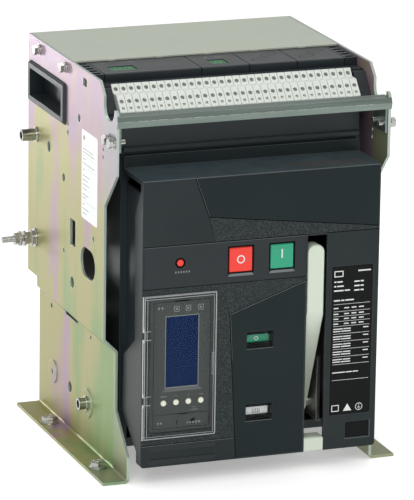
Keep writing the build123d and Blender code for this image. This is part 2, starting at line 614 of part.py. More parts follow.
WINDOW_HALF_X = 10.0
LEVER_WINDOW_Z = (POLE_SHAFT_AT[1] - 46.0, POLE_SHAFT_AT[1] + 12.0)
with BuildPart() as barrier_plate:
    block((-FRONT_HOUSING_X, FRONT_HOUSING_X), (BARRIER_Y - GAP - BARRIER_T, BARRIER_Y - GAP),
          (HOUSING_BOTTOM + 2, BARRIER_TOP))
    for x in POLE_XS:
        block((x - WINDOW_HALF_X, x + WINDOW_HALF_X), (BARRIER_Y - 6, BARRIER_Y + 1), LEVER_WINDOW_Z,
              mode=Mode.SUBTRACT)
save("barrier_plate", barrier_plate)

FRONT_HOUSING_BACK_Y = BARRIER_Y - BARRIER_T - 2 * GAP
FRONT_HOUSING_TOP = SUPPORT_BOTTOM - GAP
FRONT_WALL = 4.0
with BuildPart() as front_housing:
    block((-FRONT_HOUSING_X, FRONT_HOUSING_X), (FRONT_PANEL_Y, FRONT_HOUSING_BACK_Y),
          (HOUSING_BOTTOM + 2, FRONT_HOUSING_TOP))
    block((-FRONT_HOUSING_X + FRONT_WALL, FRONT_HOUSING_X - FRONT_WALL),
          (FRONT_PANEL_Y + FRONT_PANEL_T, FRONT_HOUSING_BACK_Y + 1),
          (HOUSING_BOTTOM + 2 + FRONT_WALL, FRONT_HOUSING_TOP - FRONT_WALL), mode=Mode.SUBTRACT)
    window_x = COVER_X - TRIP_LEFT_INSET + 2.0
    block((-window_x, window_x), (FRONT_PANEL_Y - 1, FRONT_PANEL_Y + FRONT_PANEL_T + 1), (30.0, 265.0),
          mode=Mode.SUBTRACT)
    # Ledge that closes the gap behind the cover's rear upstand.
    block((-FRONT_HOUSING_X + 1, FRONT_HOUSING_X - 1), (FRONT_PANEL_Y - 4.0, FRONT_PANEL_Y),
          (COVER_TOP + 13.5, COVER_TOP + 17.0))
    # Cheeks that close the sides between the housing and the cover.
    for side in (-1, 1):
        cheek = sorted((side * (COVER_X - COVER_WALL - 3.0), side * (COVER_X - COVER_WALL - GAP)))
        block(cheek, (FRONT_Y + 12.0, FRONT_PANEL_Y), (HOUSING_BOTTOM + 30.0, COVER_TOP - 15.0))
save("front_housing", front_housing)

# ---- Front cover -------------------------------------------------------------------------
COVER_SIDE = [
    (FRONT_Y, COVER_BOTTOM),
    (FRONT_Y, COVER_TOP),
    (-80.0, COVER_TOP),
    (-80.0, COVER_TOP - COVER_WALL),
    (-126.0, COVER_TOP - COVER_WALL),
    (-126.0, 267.0),
    (-111.7, 243.0),
    (-114.0, 131.0),
    (-84.5, 110.5),
    (-82.0, 58.0),
    (-120.0, COVER_BOTTOM + 12.0),
    (-120.0, COVER_BOTTOM),
]
BAND = (MIDDLE_BAND_BOTTOM, MIDDLE_BAND_TOP)
GRIP_KNEE = (-49.5, 241.2)
GRIP_POINTS = [(-62.1, COVER_TOP - 1.2), GRIP_KNEE, (-21.0, 237.4), (COVER_X - 1.2, 221.3),
               (COVER_X - 1.2, COVER_TOP - 1.2)]
LOWER_PANEL_LEFT = -26.6
LOWER_POINTS = [(-21.5, COVER_BOTTOM + 1.2), (LOWER_PANEL_LEFT, 110.7), (-29.0, 152.3),
                (SLOT_LEFT_X - 1.5, 177.0), (SLOT_LEFT_X - 1.5, COVER_BOTTOM + 1.2)]
BAND_X = (-COVER_X + 1.2, SLOT_LEFT_X - 1.5)


def windows(grow, ys):
    """Cut both flag windows, larger than the clear opening by a margin."""
    for z in (STATE_WINDOW_Z, CHARGE_WINDOW_Z):
        half_w = WINDOW_W / 2 + grow
        half_h = WINDOW_H / 2 + grow
        block((-half_w, half_w), ys, (z - half_h, z + half_h), mode=Mode.SUBTRACT)


def button_openings(ys):
    """Cut the openings of the two push buttons and of the reset button."""
    half_w = BUTTON_W / 2 + BUTTON_CLEAR
    half_h = BUTTON_H / 2 + BUTTON_CLEAR
    for x in (OFF_X, ON_X):
        block((x - half_w, x + half_w), ys, (BUTTON_Z - half_h, BUTTON_Z + half_h), mode=Mode.SUBTRACT)
    rod((RESET_AT[0], ys[0], RESET_AT[1]), (0, 1, 0), RESET_R + BUTTON_CLEAR, ys[1] - ys[0],
        mode=Mode.SUBTRACT)


THROUGH = (FRONT_Y - 1, FRONT_INNER_Y + 1)
POCKET_FLOOR_Y = FRONT_Y + FASCIA_T + 0.1
with BuildPart() as front_cover:
    slab_x(COVER_SIDE, (-COVER_X, COVER_X))
    corners = front_cover.edges().filter_by(Axis.Y).group_by(Axis.Z)[0]
    fillet(corners, COVER_CORNER_R)
    fillet(front_cover.edges().filter_by(Axis.X).group_by(Axis.Y)[0].sort_by(Axis.Z)[-1], 1.2)
    inner = (-COVER_X + COVER_WALL, COVER_X - COVER_WALL)
    block(inner, (FRONT_INNER_Y, BARRIER_Y), (COVER_BOTTOM - 1, COVER_TOP - COVER_WALL),
          mode=Mode.SUBTRACT)
    # Rear upstand of the top ledge.
    block((-COVER_X, COVER_X), (-81.5, -80.0), (COVER_TOP - COVER_WALL, COVER_TOP + 10.5))
    # Pockets for the three panels.
    slab_y(GRIP_POINTS, (FRONT_Y - 1, POCKET_FLOOR_Y), mode=Mode.SUBTRACT)
    slab_y(LOWER_POINTS, (FRONT_Y - 1, POCKET_FLOOR_Y), mode=Mode.SUBTRACT)
    block(BAND_X, (FRONT_Y - 1, POCKET_FLOOR_Y), BAND, mode=Mode.SUBTRACT)
    button_openings(THROUGH)
    windows(-1.0, THROUGH)
    # Openings for the trip unit and the charging handle.
    block((TRIP_LEFT_X - GAP, TRIP_RIGHT_X + GAP), THROUGH, (TRIP_BOTTOM - GAP, TRIP_TOP + GAP),
          mode=Mode.SUBTRACT)
    block((SLOT_LEFT_X, SLOT_RIGHT_X), THROUGH, (COVER_BOTTOM - 1, SLOT_TOP), mode=Mode.SUBTRACT)
    # Shallow recesses for the nameplate and the small plate below it.
    block((66.0, 105.0), (FRONT_Y - 1, FRONT_Y + 0.6), (50.5, 187.0), mode=Mode.SUBTRACT)
    block((81.5, 104.5), (FRONT_Y - 1, FRONT_Y + 1.5), (28.4, 43.5), mode=Mode.SUBTRACT)
    block((-102.0, -41.5), (FRONT_Y - 1, FRONT_Y + 0.8), (22.5, 37.5), mode=Mode.SUBTRACT)
    # Hinge lugs of the transparent door.
    for z in DOOR_LUG_ZS:
        lug_z = (z - DOOR_LUG_H / 2, z + DOOR_LUG_H / 2)
        rod((*DOOR_AXIS, lug_z[0]), (0, 0, 1), DOOR_T / 2, DOOR_LUG_H)
        block((DOOR_AXIS[0] - DOOR_T / 2, DOOR_AXIS[0] + DOOR_T / 2), (DOOR_AXIS[1], FRONT_Y + 1), lug_z)
        rod((*DOOR_AXIS, lug_z[0] - 1), (0, 0, 1), DOOR_PIN_R, DOOR_LUG_H + 2, mode=Mode.SUBTRACT)
save("front_cover", front_cover)

FASCIA_Y = (FRONT_Y, FRONT_Y + FASCIA_T)
with BuildPart() as upper_fascia:
    with BuildSketch(Plane.XZ.offset(-FASCIA_Y[1])) as grip:
        with BuildLine():
            Polyline(*GRIP_POINTS, close=True)
        make_face()
        offset(amount=-FASCIA_GAP, mode=Mode.REPLACE)
    extrude(amount=FASCIA_T)
save("upper_fascia", upper_fascia)

with BuildPart() as button_fascia:
    block((BAND_X[0] + FASCIA_GAP, BAND_X[1] - FASCIA_GAP), FASCIA_Y,
          (BAND[0] + FASCIA_GAP, BAND[1] - FASCIA_GAP))
    button_openings(THROUGH)
save("button_fascia", button_fascia)

with BuildPart() as mechanism_fascia:
    with BuildSketch(Plane.XZ.offset(-FASCIA_Y[1])) as lower:
        with BuildLine():
            Polyline(*LOWER_POINTS, close=True)
        make_face()
        offset(amount=-FASCIA_GAP, mode=Mode.REPLACE)
    extrude(amount=FASCIA_T)
    windows(0.0, THROUGH)
save("mechanism_fascia", mechanism_fascia)

LENS_T = 1.0
with BuildPart() as window_lenses:
    for z in (STATE_WINDOW_Z, CHARGE_WINDOW_Z):
        block((-WINDOW_W / 2 + 0.2, WINDOW_W / 2 - 0.2), (POCKET_FLOOR_Y - LENS_T, POCKET_FLOOR_Y),
              (z - WINDOW_H / 2 + 0.2, z + WINDOW_H / 2 - 0.2))
save("window_lenses", window_lenses)

SILL_BOTTOM = HOUSING_BOTTOM
with BuildPart() as slot_sill:
    block((SLOT_LEFT_X + 0.3, SLOT_RIGHT_X - 0.3), (FRONT_Y, FRONT_Y + 14.0), (SILL_BOTTOM, SILL_TOP))
    block((SLOT_LEFT_X - 6, SLOT_RIGHT_X + 6), (FRONT_INNER_Y + 0.1, FRONT_Y + 14.0),
          (SILL_BOTTOM, SILL_TOP - 3))
    fillet(slot_sill.edges().filter_by(Axis.X).group_by(Axis.Y)[0].sort_by(Axis.Z)[-1], 2.5)
save("slot_sill", slot_sill)

# ---- Trip unit ---------------------------------------------------------------------------
SCREEN_X = (-87.5, -56.6)
SCREEN_Z = (90.0, 154.8)
SCREEN_T = 1.0
KEY_XS = [(TRIP_LEFT_X + TRIP_RIGHT_X) / 2 + KEY_SHIFT + (i - 1.5) * KEY_PITCH for i in range(4)]
KEY_BACK_Y = TRIP_FACE_Y + 5.0
KEY_TRAVEL = 0.7
with BuildPart() as trip_unit:
    block((TRIP_LEFT_X, TRIP_RIGHT_X), (TRIP_FACE_Y, TRIP_FACE_Y + TRIP_DEPTH), (TRIP_BOTTOM, TRIP_TOP))
    block(SCREEN_X, (TRIP_FACE_Y - 1, TRIP_FACE_Y + 1.6), SCREEN_Z, mode=Mode.SUBTRACT)
    for x in KEY_XS:
        rod((x, TRIP_FACE_Y - 1, KEY_Z), (0, 1, 0), KEY_R + 0.3, 7.5 + KEY_TRAVEL, mode=Mode.SUBTRACT)
    rod((-61.5, TRIP_FACE_Y - 1, 58.5), (0, 1, 0), 2.2, 5.0, mode=Mode.SUBTRACT)
save("trip_unit", trip_unit)

with BuildPart() as trip_screen:
    block((SCREEN_X[0] + 0.2, SCREEN_X[1] - 0.2), (TRIP_FACE_Y + 0.6, TRIP_FACE_Y + 0.6 + SCREEN_T),
          (SCREEN_Z[0] + 0.2, SCREEN_Z[1] - 0.2))
save("trip_screen", trip_screen)

for number, x in enumerate(KEY_XS, start=1):
    with BuildPart() as trip_key:
        rod((x, TRIP_FACE_Y - KEY_PROUD, KEY_Z), (0, 1, 0), KEY_R, KEY_BACK_Y - TRIP_FACE_Y + KEY_PROUD)
        fillet(trip_key.faces().sort_by(Axis.Y)[0].edges(), 0.4)
    save("trip_key_" + str(number), trip_key)

DOOR_EDGE = 1.2
with BuildPart() as trip_door:
    block((DOOR_AXIS[0], DOOR_RIGHT_X), (DOOR_FRONT_Y, DOOR_BACK_Y), (DOOR_BOTTOM, DOOR_TOP))
    rod((*DOOR_AXIS, DOOR_BOTTOM), (0, 0, 1), DOOR_T / 2, DOOR_TOP - DOOR_BOTTOM)
    for z in DOOR_LUG_ZS:
        block((DOOR_LEFT_X - 1, DOOR_AXIS[0] + DOOR_T), (DOOR_FRONT_Y - 1, DOOR_BACK_Y + 1),
              (z - DOOR_LUG_H / 2 - 0.3, z + DOOR_LUG_H / 2 + 0.3), mode=Mode.SUBTRACT)
        rod((*DOOR_AXIS, z - DOOR_LUG_H), (0, 0, 1), DOOR_PIN_R + RUNNING_FIT, 2 * DOOR_LUG_H,
            mode=Mode.SUBTRACT)
    free_edges = trip_door.faces().sort_by(Axis.X)[-1].edges().filter_by(Axis.Z)
    chamfer(free_edges.sort_by(Axis.Y)[0], DOOR_EDGE)
    # Raised finger lip at the free edge.
    block((DOOR_RIGHT_X - 4.0, DOOR_RIGHT_X - 2.0), (DOOR_FRONT_Y - 0.8, DOOR_FRONT_Y), (100.0, 120.0))
save("trip_door", trip_door)

with BuildPart() as trip_door_pins:
    for z in DOOR_LUG_ZS:
        rod((*DOOR_AXIS, z - DOOR_LUG_H + 0.2), (0, 0, 1), DOOR_PIN_R, 2 * DOOR_LUG_H - 0.4)
save("trip_door_pins", trip_door_pins)

# ---- Push buttons and their latches ------------------------------------------------------
BUTTON_HEAD = 5.5
COLLAR_T = 1.0


def push_button(name, x):
    """Square button with a retaining collar behind the cover and a plunger to its latch."""
    with BuildPart() as button:
        half_w = BUTTON_W / 2
        half_h = BUTTON_H / 2
        head_back = FRONT_Y + BUTTON_HEAD
        block((x - half_w, x + half_w), (FRONT_Y, head_back), (BUTTON_Z - half_h, BUTTON_Z + half_h))
        fillet(button.edges().filter_by(Axis.Y), 1.0)
        chamfer(button.faces().sort_by(Axis.Y)[0].edges(), 0.5)
        collar_y = FRONT_INNER_Y + 0.1
        block((x - half_w - 1.5, x + half_w + 1.5), (collar_y, collar_y + COLLAR_T),
              (BUTTON_Z - half_h - 1.5, BUTTON_Z + half_h + 1.5))
        rod((x, head_back, BUTTON_Z), (0, 1, 0), 3.0, PLUNGER_END_Y - head_back)
    save(name, button)


push_button("off_button", OFF_X)
push_button("on_button", ON_X)

with BuildPart() as reset_button:
    rod((RESET_AT[0], FRONT_Y - 0.5, RESET_AT[1]), (0, 1, 0), RESET_R, 20.0)
    fillet(reset_button.faces().sort_by(Axis.Y)[0].edges(), 0.6)
    rod((RESET_AT[0], FRONT_INNER_Y + 0.1, RESET_AT[1]), (0, 1, 0), RESET_R + 2.0, COLLAR_T)
save("reset_button", reset_button)

LATCH_HALF_W = 4.0
LATCH_HUB_R = 6.0
LATCH_T = 6.0


def latch(name, x):
    """Lever on the latch spindle that a button's plunger pushes."""
    with BuildPart() as lever:
        y, z = LATCH_SPINDLE_AT
        block((x - LATCH_HALF_W, x + LATCH_HALF_W), (y - LATCH_T / 2, y + LATCH_T / 2),
              (z - 12.0, z + 30.0))
        rod((x - LATCH_HALF_W, y, z), (1, 0, 0), LATCH_HUB_R, 2 * LATCH_HALF_W)
        block((x - LATCH_HALF_W, x + LATCH_HALF_W), (y, y + 9.0), (z - 12.0, z - 7.0))
        rod((x - LATCH_HALF_W - 1, y, z), (1, 0, 0), LATCH_SPINDLE_R + RUNNING_FIT, 2 * LATCH_HALF_W + 2,
            mode=Mode.SUBTRACT)
    save(name, lever)


latch("trip_latch", OFF_X)
latch("close_latch", ON_X)

# ---- Charging handle ---------------------------------------------------------------------
HANDLE_TOP = 208.0
HANDLE_T = 13.0
HANDLE_BEND_Z = 148.0
HANDLE_BOSS_R = 8.2
with BuildPart() as charging_handle:
    grip = [(FRONT_Y, HANDLE_TOP), (FRONT_Y + HANDLE_T, HANDLE_TOP), (FRONT_Y + HANDLE_T, HANDLE_BEND_Z),
            (HANDLE_AT[0] + 7.6, HANDLE_AT[1] + 3.2), (HANDLE_AT[0] - 7.6, HANDLE_AT[1] - 3.2),
            (FRONT_Y, HANDLE_BEND_Z)]
    slab_x(grip, (HANDLE_LEFT_X, HANDLE_RIGHT_X))
    top_edges = charging_handle.faces().sort_by(Axis.Z)[-1].edges().filter_by(Axis.Y)
    fillet(top_edges, HANDLE_W / 2 - 0.6)
    fillet(charging_handle.faces().sort_by(Axis.Y)[0].edges().filter_by(Axis.Z), 1.6)
    rod((HANDLE_LEFT_X, *HANDLE_AT), (1, 0, 0), HANDLE_BOSS_R, HANDLE_W)
    rod((HANDLE_LEFT_X - 1, *HANDLE_AT), (1, 0, 0), HANDLE_PIN_R + RUNNING_FIT, HANDLE_W + 2,
        mode=Mode.SUBTRACT)
save("charging_handle", charging_handle)

# ---- Mechanism ---------------------------------------------------------------------------
OUTRIGGER_X = SLOT_RIGHT_X + 1.5
MECH_FRONT_Y = -118.0
MECH_BACK_Y = -45.0
MECH_Z = (40.0, 262.0)
FLAG_PLATE_Y = FLAG_Y + 2.2
TIE_AT = (-51.0, 88.0)
TIE_R = 4.0
with BuildPart() as mechanism_frame:
    for x in (MECH_LEFT_X - MECH_PLATE_T, MECH_RIGHT_X):
        block((x, x + MECH_PLATE_T), (MECH_FRONT_Y, MECH_BACK_Y), MECH_Z)
    block((OUTRIGGER_X, OUTRIGGER_X + MECH_PLATE_T), (MECH_FRONT_Y + 8, MECH_BACK_Y), (MECH_Z[0], 100.0))
    block((MECH_LEFT_X, MECH_RIGHT_X), (FLAG_PLATE_Y, FLAG_PLATE_Y + 1.5), (MECH_Z[0], 160.0))
    for x in (MECH_LEFT_X - MECH_PLATE_T, MECH_RIGHT_X):
        block((x, x + MECH_PLATE_T), (FLAG_PLATE_Y, MECH_FRONT_Y), (MECH_Z[0], 160.0))
    left_end = MECH_LEFT_X - MECH_PLATE_T
    span = OUTRIGGER_X + MECH_PLATE_T - left_end
    rod((left_end, *TIE_AT), (1, 0, 0), TIE_R, span)
    rod((left_end, -52.0, 245.0), (1, 0, 0), TIE_R, MECH_RIGHT_X + MECH_PLATE_T - left_end)
    rod((left_end, *LATCH_SPINDLE_AT), (1, 0, 0), LATCH_SPINDLE_R,
        MECH_RIGHT_X + MECH_PLATE_T - left_end)
    bores = [(POLE_SHAFT_AT, POLE_SHAFT_R, left_end, MECH_RIGHT_X + MECH_PLATE_T),
             (CHARGE_SHAFT_AT, CHARGE_SHAFT_R, left_end, MECH_RIGHT_X + MECH_PLATE_T),
             (HANDLE_AT, HANDLE_PIN_R, MECH_RIGHT_X, OUTRIGGER_X + MECH_PLATE_T)]
    for at, r, x_from, x_to in bores:
        rod((x_from - 1, *at), (1, 0, 0), r + RUNNING_FIT, x_to - x_from + 2, mode=Mode.SUBTRACT)
save("mechanism_frame", mechanism_frame)

with BuildPart() as handle_pin:
    rod((MECH_RIGHT_X, *HANDLE_AT), (1, 0, 0), HANDLE_PIN_R, OUTRIGGER_X + MECH_PLATE_T - MECH_RIGHT_X)
    rod((OUTRIGGER_X + MECH_PLATE_T, *HANDLE_AT), (1, 0, 0), HANDLE_PIN_R + 1.5, 1.5)
save("handle_pin", handle_pin)

CAM_R = 13.0
CAM_THROW = 5.0
CAM_X = -20.0
WHEEL_X = 20.0
WHEEL_W = 7.0
with BuildPart() as charging_shaft:
    y, z = CHARGE_SHAFT_AT
    rod((MECH_LEFT_X - MECH_PLATE_T - 3, y, z), (1, 0, 0), CHARGE_SHAFT_R,
        MECH_RIGHT_X - MECH_LEFT_X + 2 * MECH_PLATE_T + 5)
    rod((CAM_X, y, z + CAM_THROW), (1, 0, 0), CAM_R, 8.0)
save("charging_shaft", charging_shaft)

TOOTH_DEPTH = 2.5
with BuildPart() as ratchet_wheel:
    with BuildSketch(Plane(origin=(WHEEL_X, *CHARGE_SHAFT_AT), x_dir=(0, 1, 0), z_dir=(1, 0, 0))):
        Circle(RATCHET_R)
        with PolarLocations(RATCHET_R, RATCHET_TEETH):
            Rectangle(2 * TOOTH_DEPTH, 3.2, rotation=25, mode=Mode.SUBTRACT)
        Circle(CHARGE_SHAFT_R, mode=Mode.SUBTRACT)
    extrude(amount=WHEEL_W)
save("ratchet_wheel", ratchet_wheel)

LEVER_REACH = 58.0
LEVER_NOSE_R = 4.0
POLE_SHAFT_SWING = 50.0
LEVER_W = 12.0
with BuildPart() as pole_shaft:
    y, z = POLE_SHAFT_AT
    shaft_end = FRONT_HOUSING_X - FRONT_WALL - 1.0
    rod((-shaft_end, y, z), (1, 0, 0), POLE_SHAFT_R, 2 * shaft_end)
    for x in POLE_XS:
        with Locations(Location((x, y, z), (-POLE_SHAFT_SWING, 0, 0))):
            Box(LEVER_W, LEVER_REACH, 2 * LEVER_NOSE_R, align=(Align.CENTER, Align.MIN, Align.CENTER))
            with Locations(Location((-LEVER_W / 2, LEVER_REACH, 0), (0, 90, 0))):
                Cylinder(LEVER_NOSE_R, LEVER_W, align=(Align.CENTER, Align.CENTER, Align.MIN))
save("pole_shaft", pole_shaft)

SPRING_AT = (5.0, -60.0)
SPRING_R = 9.0
SPRING_WIRE_R = 1.6
SPRING_Z = (46.0, 78.0)
with BuildPart() as closing_spring:
    with BuildLine(Plane(origin=(*SPRING_AT, SPRING_Z[0]))) as coil:
        Helix(pitch=5.0, height=SPRING_Z[1] - SPRING_Z[0], radius=SPRING_R)
    with BuildSketch(Plane(origin=coil.line @ 0, z_dir=coil.line % 0)):
        Circle(SPRING_WIRE_R)
    sweep()
save("closing_spring", closing_spring)

# ---- Flags -------------------------------------------------------------------------------
FLAG_W = 21.0
FLAG_FIELD = 10.0
FLAG_T = 1.0


def flag(name, window_z):
    """Two-field indicator that steps up behind its window."""
    with BuildPart() as indicator:
        block((-FLAG_W / 2, FLAG_W / 2), (FLAG_Y, FLAG_Y + FLAG_T),
              (window_z - FLAG_FIELD / 2 - FLAG_STEP, window_z + FLAG_FIELD / 2))
    save(name, indicator)


flag("state_flag", STATE_WINDOW_Z)
flag("charge_flag", CHARGE_WINDOW_Z)

# ---- Poles -------------------------------------------------------------------------------
CONTACT_W = 20.0
CONTACT_T = 12.0
CONTACT_HUB_R = 9.0
CONTACT_TOP = UPPER_BAR_Z + 4.0
PAD_GAP = 0.2
CHEEK_T = 5.5
CHEEK_TOP = CONTACT_PIVOT[1] + 12.0
ARM_LENGTH = CONTACT_TOP - CONTACT_PIVOT[1]
PAD_REACH = FIXED_PAD_Y - PAD_GAP - CONTACT_PIVOT[0]

with BuildPart() as contact_arm:
    block((-CONTACT_W / 2, CONTACT_W / 2), (-CONTACT_T / 2, CONTACT_T / 2), (0, ARM_LENGTH))
    rod((-CONTACT_W / 2, 0, 0), (1, 0, 0), CONTACT_HUB_R, CONTACT_W)
    block((-CONTACT_W / 2 + 1, CONTACT_W / 2 - 1), (0, PAD_REACH), (ARM_LENGTH - 12.0, ARM_LENGTH - 1.0))
    rod((-CONTACT_W / 2 - 1, 0, 0), (1, 0, 0), CONTACT_PIVOT_R + RUNNING_FIT, CONTACT_W + 2,
        mode=Mode.SUBTRACT)

for number, x in enumerate(POLE_XS, start=1):
    with BuildPart() as moving_contact:
        with Locations(Location((x, *CONTACT_PIVOT), (CONTACT_OPEN_DEG, 0, 0))):
            add(contact_arm.part)
    save("moving_contact_" + str(number), moving_contact)


def bar_holes(x, z):
    """Two vertical bolt holes at the outer end of a terminal bar."""
    for dx in (-BAR_HOLE_PITCH / 2, BAR_HOLE_PITCH / 2):
        rod((x + dx, BAR_END_Y - BAR_HOLE_FROM_END, z - BAR_T), (0, 0, 1), BAR_HOLE_R, 2 * BAR_T,
            mode=Mode.SUBTRACT)


with BuildPart() as upper_terminals:
    for x in POLE_XS:
        bar_z = (UPPER_BAR_Z - BAR_T / 2, UPPER_BAR_Z + BAR_T / 2)
        block((x - BAR_W / 2, x + BAR_W / 2), (FIXED_PAD_Y + 2, BAR_END_Y), bar_z)
        block((x - CONTACT_W / 2, x + CONTACT_W / 2), (FIXED_PAD_Y, FIXED_PAD_Y + 2), bar_z)
        bar_holes(x, UPPER_BAR_Z)
save("upper_terminals", upper_terminals)

with BuildPart() as lower_terminals:
    for x in POLE_XS:
        bar_z = (LOWER_BAR_Z - BAR_T / 2, LOWER_BAR_Z + BAR_T / 2)
        block((x - BAR_W / 2, x + BAR_W / 2), (CONTACT_PIVOT[0] - 12, BAR_END_Y), bar_z)
        for side in (-1, 1):
            near = x + side * (CONTACT_W / 2 + GAP)
            cheek = sorted((near, near + side * CHEEK_T))
            block(cheek, (CONTACT_PIVOT[0] - 12, CONTACT_PIVOT[0] + 12), (bar_z[1], CHEEK_TOP))
        pin_from = x - CONTACT_W / 2 - GAP - CHEEK_T - 1
        rod((pin_from, *CONTACT_PIVOT), (1, 0, 0), CONTACT_PIVOT_R + RUNNING_FIT, 2 * (x - pin_from),
            mode=Mode.SUBTRACT)
        bar_holes(x, LOWER_BAR_Z)
save("lower_terminals", lower_terminals)

with BuildPart() as contact_pins:
    pin_half = CONTACT_W / 2 + GAP + CHEEK_T + 1.5
    for x in POLE_XS:
        rod((x - pin_half, *CONTACT_PIVOT), (1, 0, 0), CONTACT_PIVOT_R, 2 * pin_half)
save("contact_pins", contact_pins)

CHUTE_HALF_X = 32.0
CHUTE_Y = (24.0, 118.0)
CHUTE_Z = (252.0, HEIGHT - 10.0)
CHUTE_WALL = 3.0
PLATES_PER_CHUTE = 9
with BuildPart() as arc_chutes:
    for x in POLE_XS:
        block((x - CHUTE_HALF_X, x + CHUTE_HALF_X), CHUTE_Y, CHUTE_Z)
        block((x - CHUTE_HALF_X + CHUTE_WALL, x + CHUTE_HALF_X - CHUTE_WALL),
              (CHUTE_Y[0] + CHUTE_WALL, CHUTE_Y[1] - CHUTE_WALL),
              (CHUTE_Z[0] - 1, CHUTE_Z[1] - CHUTE_WALL),
              mode=Mode.SUBTRACT)
save("arc_chutes", arc_chutes)

with BuildPart() as splitter_plates:
    splitter_pitch = (CHUTE_Y[1] - CHUTE_Y[0] - 2 * CHUTE_WALL) / PLATES_PER_CHUTE
    for x in POLE_XS:
        for i in range(PLATES_PER_CHUTE):
            plate_y = CHUTE_Y[0] + CHUTE_WALL + (i + 0.5) * splitter_pitch
            block((x - CHUTE_HALF_X + CHUTE_WALL, x + CHUTE_HALF_X - CHUTE_WALL),
                  (plate_y - 0.8, plate_y + 0.8), (CHUTE_Z[0] + 4.0, CHUTE_Z[1] - CHUTE_WALL - 8.0))
save("splitter_plates", splitter_plates)

CT_Y = (96.0, 124.0)
CT_HALF_Z = 30.0
with BuildPart() as current_transformers:
    for x in POLE_XS:
        block((x - CHUTE_HALF_X, x + CHUTE_HALF_X), CT_Y,
              (LOWER_BAR_Z - CT_HALF_Z, LOWER_BAR_Z + CT_HALF_Z))
        block((x - BAR_W / 2 - 1, x + BAR_W / 2 + 1), (CT_Y[0] - 1, CT_Y[1] + 1),
              (LOWER_BAR_Z - BAR_T / 2 - 1, LOWER_BAR_Z + BAR_T / 2 + 1), mode=Mode.SUBTRACT)
save("current_transformers", current_transformers)
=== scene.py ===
"""Looks of a fixed-mount air circuit breaker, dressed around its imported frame.

Lengths are written in millimetres and turned into metres when a mesh is made. X runs to the
right, +Y to the back and +Z up, with the origin between the four foot holes.
"""

import logging
import math
from dataclasses import dataclass
from enum import Enum
from functools import reduce

import bmesh
import bpy
from mathutils import Matrix, Vector


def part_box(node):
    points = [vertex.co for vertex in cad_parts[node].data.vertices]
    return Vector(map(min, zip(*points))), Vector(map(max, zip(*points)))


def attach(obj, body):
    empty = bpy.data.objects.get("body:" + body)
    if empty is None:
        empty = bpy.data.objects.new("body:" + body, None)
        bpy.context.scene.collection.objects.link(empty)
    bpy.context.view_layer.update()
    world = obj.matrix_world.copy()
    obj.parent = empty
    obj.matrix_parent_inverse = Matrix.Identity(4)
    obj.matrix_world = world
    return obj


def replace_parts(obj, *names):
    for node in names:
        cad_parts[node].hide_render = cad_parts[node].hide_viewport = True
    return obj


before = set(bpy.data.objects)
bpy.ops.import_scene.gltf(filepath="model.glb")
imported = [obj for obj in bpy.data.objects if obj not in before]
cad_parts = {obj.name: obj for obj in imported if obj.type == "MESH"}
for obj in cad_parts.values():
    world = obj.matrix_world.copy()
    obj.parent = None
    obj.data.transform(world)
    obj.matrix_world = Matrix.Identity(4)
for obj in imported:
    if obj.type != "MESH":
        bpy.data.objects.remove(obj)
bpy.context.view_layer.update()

LOG = logging.getLogger("breaker")
MM = 0.001
Colour = tuple[float, float, float, float]
Pair = tuple[float, float]
Triple = tuple[float, float, float]

FRONT_Y = -131.5
COVER_SIDE = 109.4
BAND_ZS = (180.5, 218.4)
SLOT_XS = (42.5, 61.0)
BUTTON_XS = (-19.5, 18.7)
BUTTON_Z = 200.9
WINDOW_ZS = (126.3, 60.4)
MODULE_TOP = 350.3
BACKWARDS = (0.0, 1.0, 0.0)


def rgb(red: float, green: float, blue: float) -> Colour:
    """Return an opaque linear colour."""
    return (red, green, blue, 1.0)


# ---- Node plumbing -----------------------------------------------------------------------


